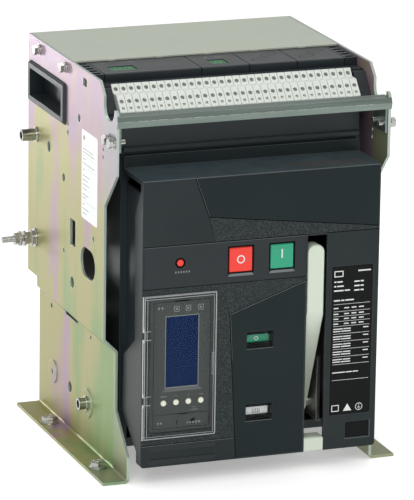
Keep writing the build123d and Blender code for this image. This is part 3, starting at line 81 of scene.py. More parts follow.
class Graph:
    """A node tree with short ways to add and join nodes."""

    def __init__(self, tree: bpy.types.NodeTree) -> None:
        """Keep the tree to add to."""
        self.tree = tree

    def add(self, kind: str, **settings: object) -> bpy.types.Node:
        """Add a node.

        Args:
            kind: the node's type name.
            settings: attributes to set on the node.

        Returns:
            The new node.
        """
        node = self.tree.nodes.new(kind)
        for key, value in settings.items():
            setattr(node, key, value)
        return node

    def feed(self, socket: bpy.types.NodeSocket, source: object) -> None:
        """Set a socket's value, or link it to another node's output.

        Args:
            socket: the input socket.
            source: a number, a colour or an output socket.
        """
        if isinstance(source, bpy.types.NodeSocket):
            self.tree.links.new(source, socket)
        else:
            socket.default_value = source

    def math(self, operation: str, *values: object, clamp: bool = False) -> bpy.types.NodeSocket:
        """Add a Math node.

        Args:
            operation: the operation's name.
            values: its inputs.
            clamp: whether the result is kept between 0 and 1.

        Returns:
            The node's output.
        """
        node = self.add("ShaderNodeMath", operation=operation, use_clamp=clamp)
        for socket, value in zip(node.inputs, values):
            self.feed(socket, value)
        return node.outputs[0]

    def times(self, *values: object) -> bpy.types.NodeSocket:
        """Return the product of two or more values."""
        return reduce(lambda first, second: self.math("MULTIPLY", first, second), values)

    def above(self, value: object, limit: object) -> bpy.types.NodeSocket:
        """Return 1 where a value is over a limit, else 0."""
        return self.math("GREATER_THAN", value, limit)

    def below(self, value: object, limit: object) -> bpy.types.NodeSocket:
        """Return 1 where a value is under a limit, else 0."""
        return self.math("LESS_THAN", value, limit)

    def between(self, value: object, limits: Pair) -> bpy.types.NodeSocket:
        """Return 1 where a value is inside two limits, else 0."""
        return self.times(self.above(value, limits[0]), self.below(value, limits[1]))

    def blend(self, factor: object, low: object, high: object) -> bpy.types.NodeSocket:
        """Mix two colours.

        Args:
            factor: 0 for the first colour, 1 for the second.
            low: the first colour.
            high: the second colour.

        Returns:
            The mixed colour's output.
        """
        node = self.add("ShaderNodeMix", data_type="RGBA")
        self.feed(node.inputs["Factor"], factor)
        self.feed(node.inputs[6], low)
        self.feed(node.inputs[7], high)
        return node.outputs[2]

    def noise(self, vector: object, scale: float, detail: float = 2.0) -> bpy.types.NodeSocket:
        """Add a noise texture.

        Args:
            vector: where it is read.
            scale: its scale, per metre.
            detail: its octaves.

        Returns:
            The texture's value.
        """
        node = self.add("ShaderNodeTexNoise")
        self.feed(node.inputs["Vector"], vector)
        self.feed(node.inputs["Scale"], scale)
        self.feed(node.inputs["Detail"], detail)
        return node.outputs["Fac"]

    def stretch(self, vector: object, scale: Triple) -> bpy.types.NodeSocket:
        """Scale a vector along each axis.

        Args:
            vector: the vector to scale.
            scale: the factors.

        Returns:
            The scaled vector.
        """
        node = self.add("ShaderNodeVectorMath", operation="MULTIPLY")
        self.feed(node.inputs[0], vector)
        self.feed(node.inputs[1], scale)
        return node.outputs[0]

    def ramp(self, value: object, stops: list[tuple[float, Colour]]) -> bpy.types.NodeSocket:
        """Turn a value into a colour.

        Args:
            value: the value, from 0 to 1.
            stops: places and their colours.

        Returns:
            The colour.
        """
        node = self.add("ShaderNodeValToRGB")
        band = node.color_ramp
        while len(band.elements) < len(stops):
            band.elements.new(0.5)
        for element, (place, colour) in zip(band.elements, stops):
            element.position = place
            element.color = colour
        self.feed(node.inputs[0], value)
        return node.outputs[0]


class Effect(Enum):
    """The shared surface effects."""

    GRAIN = "moulded_grain"
    EDGE = "soft_edge"
    DUST = "settled_dust"
    PLACE = "place_on_part"


class Effects:
    """Builds each shared effect once, as a node group with named sockets."""

    def __init__(self) -> None:
        """Start with no groups."""
        self.groups: dict[Effect, bpy.types.NodeTree] = {}

    def group(self, effect: Effect) -> bpy.types.NodeTree:
        """Return an effect's group, and build it at first use.

        Args:
            effect: which effect.

        Returns:
            The node group.
        """
        if effect not in self.groups:
            makers = {Effect.GRAIN: self.grain, Effect.EDGE: self.edge,
                      Effect.DUST: self.dust, Effect.PLACE: self.place}
            self.groups[effect] = makers[effect]()
        return self.groups[effect]

    def start(self, effect: Effect, inputs: dict[str, float], outputs: dict[str, str]) -> tuple:
        """Make an empty group with its sockets.

        Args:
            effect: which effect it is for.
            inputs: each input's name and value.
            outputs: each output's name and socket type.

        Returns:
            The graph, the group's input node and its output node.
        """
        tree = bpy.data.node_groups.new(effect.value, "ShaderNodeTree")
        for name, value in inputs.items():
            socket = tree.interface.new_socket(name, in_out="INPUT", socket_type="NodeSocketFloat")
            socket.default_value = value
        for name, kind in outputs.items():
            tree.interface.new_socket(name, in_out="OUTPUT", socket_type=kind)
        graph = Graph(tree)
        return graph, graph.add("NodeGroupInput"), graph.add("NodeGroupOutput")

    def grain(self) -> bpy.types.NodeTree:
        """Build the fine spark texture of a moulded or rolled surface.

        Returns:
            The node group.
        """
        graph, given, made = self.start(
            Effect.GRAIN, {"Scale": 1500.0, "Contrast": 1.0},
            {"Speckle": "NodeSocketFloat", "Cloud": "NodeSocketFloat", "Height": "NodeSocketFloat"})
        place = graph.add("ShaderNodeTexCoord").outputs["Object"]
        fine = graph.noise(place, 1.0, 3.0)
        graph.feed(fine.node.inputs["Scale"], given.outputs["Scale"])
        cloud = graph.noise(place, 14.0, 4.0)
        spread = graph.math("MULTIPLY", graph.math("SUBTRACT", fine, 0.5), given.outputs["Contrast"])
        graph.feed(made.inputs["Speckle"], graph.math("ADD", spread, 0.5, clamp=True))
        graph.feed(made.inputs["Cloud"], cloud)
        graph.feed(made.inputs["Height"], fine)
        return graph.tree

    def edge(self) -> bpy.types.NodeTree:
        """Build the rounding and the wear of sharp edges.

        Returns:
            The node group.
        """
        graph, given, made = self.start(
            Effect.EDGE, {"Radius": 0.0005, "Wear": 1.0},
            {"Normal": "NodeSocketVector", "Mask": "NodeSocketFloat"})
        bevel = graph.add("ShaderNodeBevel", samples=6)
        graph.feed(bevel.inputs["Radius"], given.outputs["Radius"])
        flat = graph.add("ShaderNodeNewGeometry").outputs["Normal"]
        turn = graph.add("ShaderNodeVectorMath", operation="DOT_PRODUCT")
        graph.feed(turn.inputs[0], bevel.outputs[0])
        graph.feed(turn.inputs[1], flat)
        away = graph.math("SUBTRACT", 1.0, turn.outputs["Value"])
        steep = graph.math("MULTIPLY", away, 5.0)
        worn = graph.math("MULTIPLY", steep, given.outputs["Wear"], clamp=True)
        graph.feed(made.inputs["Normal"], bevel.outputs[0])
        graph.feed(made.inputs["Mask"], worn)
        return graph.tree

    def dust(self) -> bpy.types.NodeTree:
        """Build the thin dust that lies on upward faces.

        Returns:
            The node group.
        """
        graph, given, made = self.start(Effect.DUST, {"Amount": 0.1}, {"Mask": "NodeSocketFloat"})
        normal = graph.add("ShaderNodeSeparateXYZ")
        graph.feed(normal.inputs[0], graph.add("ShaderNodeNewGeometry").outputs["Normal"])
        up = graph.math("MAXIMUM", normal.outputs[2], 0.0)
        place = graph.add("ShaderNodeTexCoord").outputs["Object"]
        patch = graph.noise(place, 60.0, 5.0)
        graph.feed(made.inputs["Mask"], graph.times(up, patch, given.outputs["Amount"]))
        return graph.tree

    def place(self) -> bpy.types.NodeTree:
        """Build the place on the part in millimetres and how far a face looks along each axis.

        Returns:
            The node group.
        """
        graph, _, made = self.start(
            Effect.PLACE, {},
            {name: "NodeSocketFloat" for name in ("X", "Y", "Z", "Sideways", "Forward", "Upright")})
        spot = graph.add("ShaderNodeSeparateXYZ")
        graph.feed(spot.inputs[0], graph.add("ShaderNodeTexCoord").outputs["Object"])
        normal = graph.add("ShaderNodeSeparateXYZ")
        graph.feed(normal.inputs[0], graph.add("ShaderNodeTexCoord").outputs["Normal"])
        facings = {"X": "Sideways", "Y": "Forward", "Z": "Upright"}
        for i, (axis, facing) in enumerate(facings.items()):
            graph.feed(made.inputs[axis], graph.math("MULTIPLY", spot.outputs[i], 1 / MM))
            graph.feed(made.inputs[facing], graph.math("ABSOLUTE", normal.outputs[i]))
        return graph.tree


EFFECTS = Effects()


class Dresser(Graph):
    """One material being made: a Principled shader and the effects that feed it."""

    def __init__(self, name: str) -> None:
        """Make an empty material.

        Args:
            name: the material's name.
        """
        self.material = bpy.data.materials.new(name)
        self.material.use_nodes = True
        super().__init__(self.material.node_tree)
        self.tree.nodes.clear()
        self.shader = self.add("ShaderNodeBsdfPrincipled")
        output = self.add("ShaderNodeOutputMaterial")
        self.tree.links.new(self.shader.outputs[0], output.inputs["Surface"])

    def put(self, **values: object) -> None:
        """Feed the shader's sockets.

        Args:
            values: socket names, with underscores for spaces, and their sources.
        """
        for name, value in values.items():
            self.feed(self.shader.inputs[name.replace("_", " ")], value)

    def use(self, effect: Effect, **values: float) -> bpy.types.Node:
        """Place a shared effect.

        Args:
            effect: which effect.
            values: the group's input values.

        Returns:
            The group node.
        """
        node = self.add("ShaderNodeGroup")
        node.node_tree = EFFECTS.group(effect)
        for name, value in values.items():
            node.inputs[name].default_value = value
        return node

    def raise_surface(self, height: object, strength: float, distance: float,
                      normal: object) -> None:
        """Feed the shader's normal with a bump.

        Args:
            height: the height's source.
            strength: the bump's strength.
            distance: its depth in metres.
            normal: the normal it starts from.
        """
        bump = self.add("ShaderNodeBump")
        self.feed(bump.inputs["Strength"], strength)
        self.feed(bump.inputs["Distance"], distance)
        self.feed(bump.inputs["Height"], height)
        self.feed(bump.inputs["Normal"], normal)
        self.put(Normal=bump.outputs[0])


# ---- Finishes ----------------------------------------------------------------------------


@dataclass(frozen=True)
class Moulding:
    """Moulded plastic with a fine texture, slightly polished edges and a little dust."""

    name: str
    colour: Colour
    pale: Colour
    roughness: float = 0.42
    speckle: float = 0.25
    grain: float = 1800.0
    relief: float = 0.12
    edge_gain: float = 0.35
    dust: float = 0.10
    edge_radius: float = 0.0004
    gloss: float = 0.5

    def build(self) -> bpy.types.Material:
        """Make the material.

        Returns:
            The material.
        """
        made = Dresser(self.name)
        grain = made.use(Effect.GRAIN, Scale=self.grain, Contrast=2.2)
        edge = made.use(Effect.EDGE, Radius=self.edge_radius, Wear=self.edge_gain)
        dust = made.use(Effect.DUST, Amount=self.dust)
        cloud = made.times(grain.outputs["Cloud"], 0.12)
        shade = made.math("ADD", made.times(grain.outputs["Speckle"], self.speckle), cloud)
        body = made.blend(shade, self.colour, self.pale)
        body = made.blend(edge.outputs["Mask"], body, self.pale)
        body = made.blend(dust.outputs["Mask"], body, rgb(0.42, 0.42, 0.40))
        rough = made.math("MULTIPLY_ADD", grain.outputs["Cloud"], 0.16, self.roughness - 0.08)
        made.put(Base_Color=body, Roughness=rough, Specular_IOR_Level=self.gloss)
        made.raise_surface(grain.outputs["Height"], self.relief, 0.00008, edge.outputs["Normal"])
        return made.material


@dataclass(frozen=True)
class CoverMoulding:
    """The front cover's plastic: smooth panels and spark-eroded fields between them."""

    name: str
    smooth: Colour = rgb(0.0085, 0.0140, 0.0155)
    # Lighter, bluer colour for upward faces: a painted reflection of the light from above.
    upward: Colour = rgb(0.0115, 0.0270, 0.0350)
    field: Colour = rgb(0.0110, 0.0165, 0.0175)
    fleck: Colour = rgb(0.1300, 0.1450, 0.1450)
    worn: Colour = rgb(0.12, 0.13, 0.13)
    dusty: Colour = rgb(0.40, 0.41, 0.40)
    field_zs: Pair = (39.8, 180.6)
    field_right: float = 42.3
    wedge_low: float = 218.6
    wedge_lean: Pair = (-0.2217, 3.98)
    ledge_low: float = 276.0
    ledge_ys: Pair = (-126.5, -107.0)
    ledge_lean: Pair = (-1.1, -97.0)
    ledge_right: float = 102.0

    def fields(self, made: Dresser, place: bpy.types.Node) -> bpy.types.NodeSocket:
        """Mark the spark-eroded fields of the front and of the ledge on top.

        Args:
            made: the material being made.
            place: the group node that gives the place on the part.

        Returns:
            1 on the fields, else 0.
        """
        x, y, z = (place.outputs[axis] for axis in "XYZ")
        slant = made.math("MULTIPLY_ADD", z, *self.wedge_lean)
        wedge = made.times(made.above(z, self.wedge_low), made.above(x, slant))
        middle = made.times(made.between(z, self.field_zs), made.below(x, self.field_right))
        front = made.times(made.above(place.outputs["Forward"], 0.9),
                           made.below(y, FRONT_Y + 0.6), made.math("MAXIMUM", wedge, middle))
        lean = made.math("MULTIPLY_ADD", y, *self.ledge_lean)
        patch = made.times(made.above(place.outputs["Upright"], 0.9), made.above(z, self.ledge_low),
                           made.above(x, lean), made.below(x, self.ledge_right),
                           made.between(y, self.ledge_ys))
        return made.math("MAXIMUM", front, patch)

    def build(self) -> bpy.types.Material:
        """Make the material.

        Returns:
            The material.
        """
        made = Dresser(self.name)
        place = made.use(Effect.PLACE)
        rough_field = self.fields(made, place)
        grain = made.use(Effect.GRAIN, Scale=1350.0, Contrast=4.5)
        edge = made.use(Effect.EDGE, Radius=0.0006, Wear=0.5)
        dust = made.use(Effect.DUST, Amount=0.10)
        spark = made.math("POWER", grain.outputs["Speckle"], 3.0)
        rough_colour = made.blend(made.times(spark, 0.30), self.field, self.fleck)
        # Upward faces take the upward colour, a painted reflection of the light from above.
        plain = made.blend(made.above(place.outputs["Upright"], 0.3), self.smooth, self.upward)
        smooth = made.blend(made.times(grain.outputs["Cloud"], 0.1), plain, self.fleck)
        body = made.blend(rough_field, smooth, rough_colour)
        body = made.blend(edge.outputs["Mask"], body, self.worn)
        body = made.blend(dust.outputs["Mask"], body, self.dusty)
        rough = made.math("MULTIPLY_ADD", rough_field, 0.16, 0.36)
        made.put(Base_Color=body, Roughness=rough, Specular_IOR_Level=0.17)
        coarse = made.math("MULTIPLY_ADD", rough_field, 0.92, 0.08)
        made.raise_surface(made.times(grain.outputs["Height"], coarse), 0.55, 0.0002,
                           edge.outputs["Normal"])
        return made.material


@dataclass(frozen=True)
class Passivate:
    """Zinc-plated sheet with a rainbow passivate, pale on its cut edges."""

    name: str
    rose: Colour = rgb(0.355, 0.250, 0.265)
    straw: Colour = rgb(0.330, 0.310, 0.125)
    leaf: Colour = rgb(0.195, 0.290, 0.105)
    lilac: Colour = rgb(0.320, 0.240, 0.320)
    ice: Colour = rgb(0.240, 0.330, 0.300)
    height: float = 352.0
    foot_top: float = 3.5
    bend_y: float = -74.0

    def build(self) -> bpy.types.Material:
        """Make the material.

        Returns:
            The material.
        """
        made = Dresser(self.name)
        place = made.use(Effect.PLACE)
        grain = made.use(Effect.GRAIN, Scale=900.0, Contrast=1.5)
        edge = made.use(Effect.EDGE, Radius=0.0005, Wear=1.2)
        coords = made.add("ShaderNodeTexCoord").outputs["Object"]
        drift = made.noise(made.stretch(coords, (1.0, 1.0, 0.55)), 7.0, 3.0)
        streak = made.noise(made.stretch(coords, (1.0, 1.0, 0.14)), 26.0, 3.0)
        wave = made.math("MULTIPLY_ADD", drift, 0.95, made.times(streak, 0.95))
        wave = made.math("MULTIPLY_ADD", place.outputs["Z"], 0.34 / self.height, wave)
        tone = made.math("SUBTRACT", wave, 0.62, clamp=True)
        film = made.ramp(tone, [(0.22, self.leaf), (0.36, self.straw), (0.46, self.straw),
                                (0.54, self.rose), (0.64, self.lilac), (0.74, self.rose),
                                (0.90, self.ice)])
        cut = made.times(made.below(place.outputs["Sideways"], 0.6),
                         made.above(place.outputs["Z"], self.foot_top))
        front = made.below(place.outputs["Y"], self.bend_y)
        body = made.blend(made.times(front, 0.35), film, self.ice)
        body = made.blend(made.times(cut, 0.75), body, rgb(0.42, 0.52, 0.46))
        body = made.blend(edge.outputs["Mask"], body, rgb(0.60, 0.68, 0.64))
        rough = made.math("MULTIPLY_ADD", drift, 0.16, 0.32)
        made.put(Base_Color=body, Roughness=rough, Metallic=0.50)
        made.raise_surface(grain.outputs["Height"], 0.10, 0.00006, edge.outputs["Normal"])
        return made.material


class Lay(Enum):
    """Which way the fine lines of a metal run."""

    ALONG_X = (0.03, 1.0, 1.0)
    ALONG_Y = (1.0, 0.03, 1.0)
    EVEN = (1.0, 1.0, 1.0)


@dataclass(frozen=True)
class Metal:
    """Bare, plated or rolled metal with fine lines and brighter edges."""

    name: str
    colour: Colour
    dark: Colour
    roughness: float = 0.28
    metallic: float = 1.0
    lay: Lay = Lay.EVEN
    lines: float = 500.0
    edge_gain: float = 0.6

    def build(self) -> bpy.types.Material:
        """Make the material.

        Returns:
            The material.
        """
        made = Dresser(self.name)
        grain = made.use(Effect.GRAIN, Scale=700.0, Contrast=1.6)
        edge = made.use(Effect.EDGE, Radius=0.0004, Wear=self.edge_gain)
        dust = made.use(Effect.DUST, Amount=0.06)
        coords = made.add("ShaderNodeTexCoord").outputs["Object"]
        line = made.noise(made.stretch(coords, self.lay.value), self.lines, 4.0)
        tone = made.math("MULTIPLY_ADD", line, 0.9, made.times(grain.outputs["Cloud"], 0.5))
        tone = made.math("SUBTRACT", tone, 0.35, clamp=True)
        body = made.blend(tone, self.dark, self.colour)
        body = made.blend(edge.outputs["Mask"], body, rgb(0.80, 0.81, 0.80))
        body = made.blend(dust.outputs["Mask"], body, rgb(0.45, 0.45, 0.43))
        rough = made.math("MULTIPLY_ADD", line, 0.18, self.roughness - 0.09)
        made.put(Base_Color=body, Roughness=rough, Metallic=self.metallic)
        made.raise_surface(line, 0.12, 0.00006, edge.outputs["Normal"])
        return made.material


@dataclass(frozen=True)
class Clear:
    """Clear moulded plastic: almost unseen flat on, with painted highlights on its side faces and
    edges.
    """

    name: str
    body: float = 0.008
    rim: float = 0.42

    def build(self) -> bpy.types.Material:
        """Make the material.

        Returns:
            The material.
        """
        made = Dresser(self.name)
        place = made.use(Effect.PLACE)
        edge = made.use(Effect.EDGE, Radius=0.0005, Wear=1.5)
        grain = made.use(Effect.GRAIN, Scale=300.0, Contrast=1.0)
        # Side faces and edges get more alpha and a pale colour: a painted highlight where the clear
        # plastic's edges catch light.
        side = made.math("SUBTRACT", 1.0, made.above(place.outputs["Forward"], 0.95))
        shown = made.math("MULTIPLY_ADD", side, self.rim - self.body, self.body)
        shown = made.math("MULTIPLY_ADD", edge.outputs["Mask"], 0.50, shown, clamp=True)
        glow = made.blend(side, rgb(0.40, 0.42, 0.42), rgb(0.86, 0.88, 0.87))
        rough = made.math("MULTIPLY_ADD", grain.outputs["Cloud"], 0.08, 0.04)
        made.put(Base_Color=glow, Roughness=rough, Alpha=shown, Specular_IOR_Level=0.08)
        made.raise_surface(grain.outputs["Height"], 0.03, 0.00005, edge.outputs["Normal"])
        return made.material


def flat_print(name: str, colour: Colour, pale: Colour, **looks: float) -> Moulding:
    """Return the finish of something thin and flat: an ink, a line or a label.

    Args:
        name: the material's name.
        colour: its colour.
        pale: its colour where it is lightest.
        looks: values that differ from those of most prints.

    Returns:
        The finish.
    """
    usual = {"speckle": 0.2, "relief": 0.02, "edge_gain": 0.0, "edge_radius": 0.0001, "dust": 0.0}
    return Moulding(name, colour, pale, **(usual | looks))


INK_EDGE = 0.00002

BLACK = Moulding("black_moulding", rgb(0.0068, 0.0130, 0.0160), rgb(0.055, 0.060, 0.064),
                 speckle=0.10, roughness=0.34, gloss=0.34)
PANEL = Moulding("smooth_panel", rgb(0.0070, 0.0135, 0.0155), rgb(0.060, 0.070, 0.074),
                 speckle=0.05, roughness=0.36, relief=0.04, gloss=0.10)
BAND = Moulding("band_panel", rgb(0.0150, 0.0195, 0.0215), rgb(0.060, 0.070, 0.074),
                speckle=0.05, roughness=0.38, relief=0.04, gloss=0.20)
COVER = CoverMoulding("cover_moulding")
POLE = Moulding("pole_moulding", rgb(0.020, 0.019, 0.018), rgb(0.080, 0.075, 0.070),
                speckle=0.3, grain=700.0, relief=0.3, roughness=0.5)
FIBRE = Moulding("chute_fibre", rgb(0.42, 0.32, 0.19), rgb(0.62, 0.52, 0.36),
                 speckle=0.6, grain=500.0)
TRIP = Moulding("trip_unit_grey", rgb(0.040, 0.047, 0.044), rgb(0.09, 0.10, 0.095),
                speckle=0.10, gloss=0.12)
TERMINAL = Moulding("terminal_white", rgb(0.62, 0.66, 0.61), rgb(0.78, 0.80, 0.76), speckle=0.15,
                    relief=0.05, roughness=0.5, edge_gain=0.2, edge_radius=0.0002)
GREEN_PLUG = Moulding("plug_green", rgb(0.008, 0.135, 0.040), rgb(0.04, 0.26, 0.09),
                      speckle=0.1, roughness=0.35)
PLUG_SCREW = Moulding("plug_screw_green", rgb(0.10, 0.42, 0.19), rgb(0.30, 0.62, 0.38),
                      speckle=0.1, roughness=0.35, edge_radius=0.0001)
RED = Moulding("button_red", rgb(0.72, 0.019, 0.008), rgb(0.85, 0.12, 0.08), speckle=0.08,
               relief=0.04, roughness=0.33, edge_gain=0.4)
GREEN = Moulding("button_green", rgb(0.003, 0.27, 0.145), rgb(0.06, 0.42, 0.26), speckle=0.08,
                 relief=0.04, roughness=0.33, edge_gain=0.4)
CREAM = Moulding("cream_plastic", rgb(0.52, 0.58, 0.48), rgb(0.62, 0.66, 0.57), speckle=0.15,
                 relief=0.06, roughness=0.45, edge_gain=0.25)
KEY = Moulding("key_cream", rgb(0.66, 0.66, 0.56), rgb(0.78, 0.78, 0.70), speckle=0.1,
               edge_radius=0.0002)
SCREEN = Moulding("screen_blue", rgb(0.0015, 0.011, 0.050), rgb(0.03, 0.06, 0.15), speckle=0.04,
                  relief=0.01, roughness=0.30, edge_gain=0.0, dust=0.0, gloss=0.02)
PAPER = flat_print("label_white", rgb(0.74, 0.77, 0.76), rgb(0.84, 0.86, 0.85), speckle=0.3,
                   relief=0.03)
LABEL_BLACK = flat_print("label_black", rgb(0.0055, 0.0060, 0.0065), rgb(0.02, 0.02, 0.02),
                         speckle=0.1, roughness=0.34, gloss=0.07)
# Near black: painted shade in gaps, slots, seams, grooves and behind the window lenses; also the trip
# unit's dark printed lines.
GAP_SHADE_AND_INK = flat_print("gap_shade_and_ink", rgb(0.0020, 0.0022, 0.0024), rgb(0.006, 0.006, 0.006),
                  roughness=0.6, gloss=0.05)
# Pale grey: painted highlights where light catches the edges, lips and rims of the dark plastic.
EDGE_HIGHLIGHT = flat_print("edge_highlight", rgb(0.10, 0.115, 0.12), rgb(0.18, 0.19, 0.20), roughness=0.4)
WHITE_INK = flat_print("white_ink", rgb(0.60, 0.62, 0.60), rgb(0.80, 0.80, 0.78),
                       edge_radius=INK_EDGE)
GREY_INK = flat_print("grey_ink", rgb(0.16, 0.17, 0.16), rgb(0.28, 0.29, 0.28),
                      edge_radius=INK_EDGE)
DARK_INK = flat_print("dark_ink", rgb(0.05, 0.055, 0.06), rgb(0.15, 0.16, 0.17),
                      edge_radius=INK_EDGE)
BEZEL = flat_print("screen_bezel_grey", rgb(0.20, 0.22, 0.21), rgb(0.32, 0.34, 0.33), speckle=0.1,
                   relief=0.03, edge_gain=0.3)
LIP = flat_print("screen_lip_grey", rgb(0.085, 0.095, 0.095), rgb(0.18, 0.19, 0.19), speckle=0.1,
                 relief=0.03, edge_gain=0.6, gloss=0.15)
CLEAR = Clear("clear_cover")
LENS = Clear("clear_lens", body=0.010, rim=0.05)
# Door rims: painted highlights, with strong alpha and a pale colour.
DOOR_RIM_HIGHLIGHT = Clear("clear_rim_highlight", body=0.62, rim=0.80)
SHEET = Passivate("rainbow_passivate")
ZINC = Metal("zinc_plate", rgb(0.62, 0.63, 0.60), rgb(0.30, 0.30, 0.28), roughness=0.20)
BAR_STEEL = Metal("cross_bar_steel", rgb(0.25, 0.31, 0.275), rgb(0.125, 0.16, 0.145),
                  roughness=0.34, metallic=0.75, lay=Lay.ALONG_X, lines=260.0)
LID = Metal("lid_sheet", rgb(0.43, 0.46, 0.385), rgb(0.37, 0.40, 0.335), roughness=0.62,
            metallic=0.05, lay=Lay.ALONG_X, lines=160.0, edge_gain=0.8)
STEEL = Metal("mechanism_steel", rgb(0.52, 0.52, 0.50), rgb(0.30, 0.30, 0.29), roughness=0.34,
              lines=300.0)
COPPER = Metal("terminal_copper", rgb(0.80, 0.46, 0.30), rgb(0.55, 0.28, 0.17), roughness=0.34,
               lay=Lay.ALONG_Y, lines=300.0)


class Wardrobe:
    """Makes each finish's material once and puts it on pieces."""

    def __init__(self) -> None:
        """Start with no materials."""
        self.made: dict[str, bpy.types.Material] = {}

    def dress(self, piece: bpy.types.Object, finish: object) -> None:
        """Give a piece one finish.

        Args:
            piece: the object.
            finish: a finish with a name and a build method.
        """
        if finish.name not in self.made:
            self.made[finish.name] = finish.build()
        piece.data.materials.clear()
        piece.data.materials.append(self.made[finish.name])


WARDROBE = Wardrobe()


# ---- Mesh making -------------------------------------------------------------------------


@dataclass(frozen=True)
class Face:
    """A flat place on the object: local x runs along right, y along up and z outwards."""

    origin: Triple
    right: Triple = (1.0, 0.0, 0.0)
    up: Triple = (0.0, 0.0, 1.0)

    def matrix(self) -> Matrix:
        """Return the matrix from local millimetres to metres on the object."""
        right, up = Vector(self.right).normalized(), Vector(self.up).normalized()
        out = right.cross(up)
        turn = Matrix((right, up, out)).transposed().to_4x4()
        return Matrix.Translation(Vector(self.origin) * MM) @ turn @ Matrix.Scale(MM, 4)


class Shape:
    """A mesh made of closed solids on one face, in millimetres."""

    def __init__(self, name: str, face: Face) -> None:
        """Start an empty mesh with its name and its place."""
        self.name = name
        self.face = face
        self.mesh = bmesh.new()

    def prism(self, outline: list[Pair], low: float, high: float, taper: float = 1.0) -> None:
        """Add an outline raised from one height to another.

        Args:
            outline: the corners, anticlockwise.
            low: the lower height.
            high: the upper height.
            taper: how much smaller the top is.
        """
        cx, cy = middle(outline)
        base = [self.mesh.verts.new((x, y, low)) for x, y in outline]
        top = [self.mesh.verts.new((cx + (x - cx) * taper, cy + (y - cy) * taper, high))
               for x, y in outline]
        self.mesh.faces.new(list(reversed(base)))
        self.mesh.faces.new(top)
        count = len(outline)
        for i in range(count):
            j = (i + 1) % count
            self.mesh.faces.new((base[i], base[j], top[j], top[i]))

    def block(self, xs: Pair, ys: Pair, zs: Pair) -> None:
        """Add a box between its limits across, upwards and outwards."""
        corners = [(xs[0], ys[0]), (xs[1], ys[0]), (xs[1], ys[1]), (xs[0], ys[1])]
        self.prism(corners, zs[0], zs[1])

    def ribbon(self, path: list[Pair], width: float, zs: Pair) -> None:
        """Add a flat strip along a path.

        Args:
            path: its corners.
            width: its width.
            zs: its limits outwards.
        """
        for (x0, y0), (x1, y1) in zip(path, path[1:]):
            far = math.hypot(x1 - x0, y1 - y0)
            dx, dy = (x1 - x0) / far * width / 2, (y1 - y0) / far * width / 2
            self.prism([(x0 - dx + dy, y0 - dy - dx), (x1 + dx + dy, y1 + dy - dx),
                        (x1 + dx - dy, y1 + dy + dx), (x0 - dx - dy, y0 - dy + dx)], *zs)

    def band(self, outer: list[Pair], inner: list[Pair], zs: Pair) -> None:
        """Add the band between two outlines with equally many corners.

        Args:
            outer: the outer outline.
            inner: the inner outline.
            zs: its limits outwards.
        """
        levels = ((outer, zs[0]), (outer, zs[1]), (inner, zs[1]), (inner, zs[0]))
        loops = [[self.mesh.verts.new((x, y, z)) for x, y in points] for points, z in levels]
        count = len(outer)
        for loop, following in zip(loops, loops[1:] + loops[:1]):
            for i in range(count):
                j = (i + 1) % count
                self.mesh.faces.new((loop[i], loop[j], following[j], following[i]))

    def ring(self, centre: Pair, outer: float, inner: float, zs: Pair, sides: int = 40) -> None:
        """Add a flat ring.

        Args:
            centre: its centre.
            outer: its outer radius.
            inner: its inner radius.
            zs: its limits outwards.
            sides: how many sides it has.
        """
        self.band(circle(centre, outer, sides), circle(centre, inner, sides), zs)

    def finish(self, body: str, slot: str, smooth: float | None = None) -> bpy.types.Object:
        """Turn the mesh into a piece that rides on a body.

        Args:
            body: the CAD body it moves with.
            slot: not used.
            smooth: the angle in degrees up to which faces shade smoothly.

        Returns:
            The piece.
        """
        bmesh.ops.recalc_face_normals(self.mesh, faces=self.mesh.faces)
        data = bpy.data.meshes.new(self.name)
        self.mesh.transform(self.face.matrix())
        self.mesh.to_mesh(data)
        self.mesh.free()
        piece = bpy.data.objects.new(self.name, data)
        bpy.context.scene.collection.objects.link(piece)
        if smooth is not None:
            for polygon in data.polygons:
                polygon.use_smooth = True
            data.set_sharp_from_angle(angle=math.radians(smooth))
        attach(piece, body)
        return piece

    def wear(self, look: object, slot: str = "black_moulding", body: str = "frame",
             smooth: float | None = None) -> bpy.types.Object:
        """Turn the mesh into a piece and dress it.

        Args:
            look: the finish it gets.
            slot: the record's material slot.
            body: the CAD body it moves with.
            smooth: the angle in degrees up to which faces shade smoothly.

        Returns:
            The piece.
        """
        piece = self.finish(body, slot, smooth)
        WARDROBE.dress(piece, look)
        return piece


FRONT = Face((0.0, FRONT_Y, 0.0))


def middle(points: list[Pair]) -> Pair:
    """Return the mean of an outline's corners."""
    return sum(p[0] for p in points) / len(points), sum(p[1] for p in points) / len(points)


def circle(centre: Pair, radius: float, sides: int, start: float = 0.0) -> list[Pair]:
    """Return the corners of a regular outline.

    Args:
        centre: its centre.
        radius: its corner radius.
        sides: how many corners.
        start: the first corner's angle in degrees.

    Returns:
        The corners, anticlockwise.
    """
    turns = [math.radians(start) + 2 * math.pi * i / sides for i in range(sides)]
    return [(centre[0] + radius * math.cos(a), centre[1] + radius * math.sin(a)) for a in turns]


def rounded(xs: Pair, ys: Pair, radius: float, steps: int = 6) -> list[Pair]:
    """Return a rectangle with round corners.

    Args:
        xs: its limits across.
        ys: its limits upwards.
        radius: the corner radius.
        steps: how many parts each corner has.

    Returns:
        The corners, anticlockwise.
    """
    centres = [(xs[1] - radius, ys[1] - radius, 0), (xs[0] + radius, ys[1] - radius, 90),
               (xs[0] + radius, ys[0] + radius, 180), (xs[1] - radius, ys[0] + radius, 270)]
    points = []
    for cx, cy, start in centres:
        for i in range(steps + 1):
            a = math.radians(start + 90 * i / steps)
            points.append((cx + radius * math.cos(a), cy + radius * math.sin(a)))
    return points


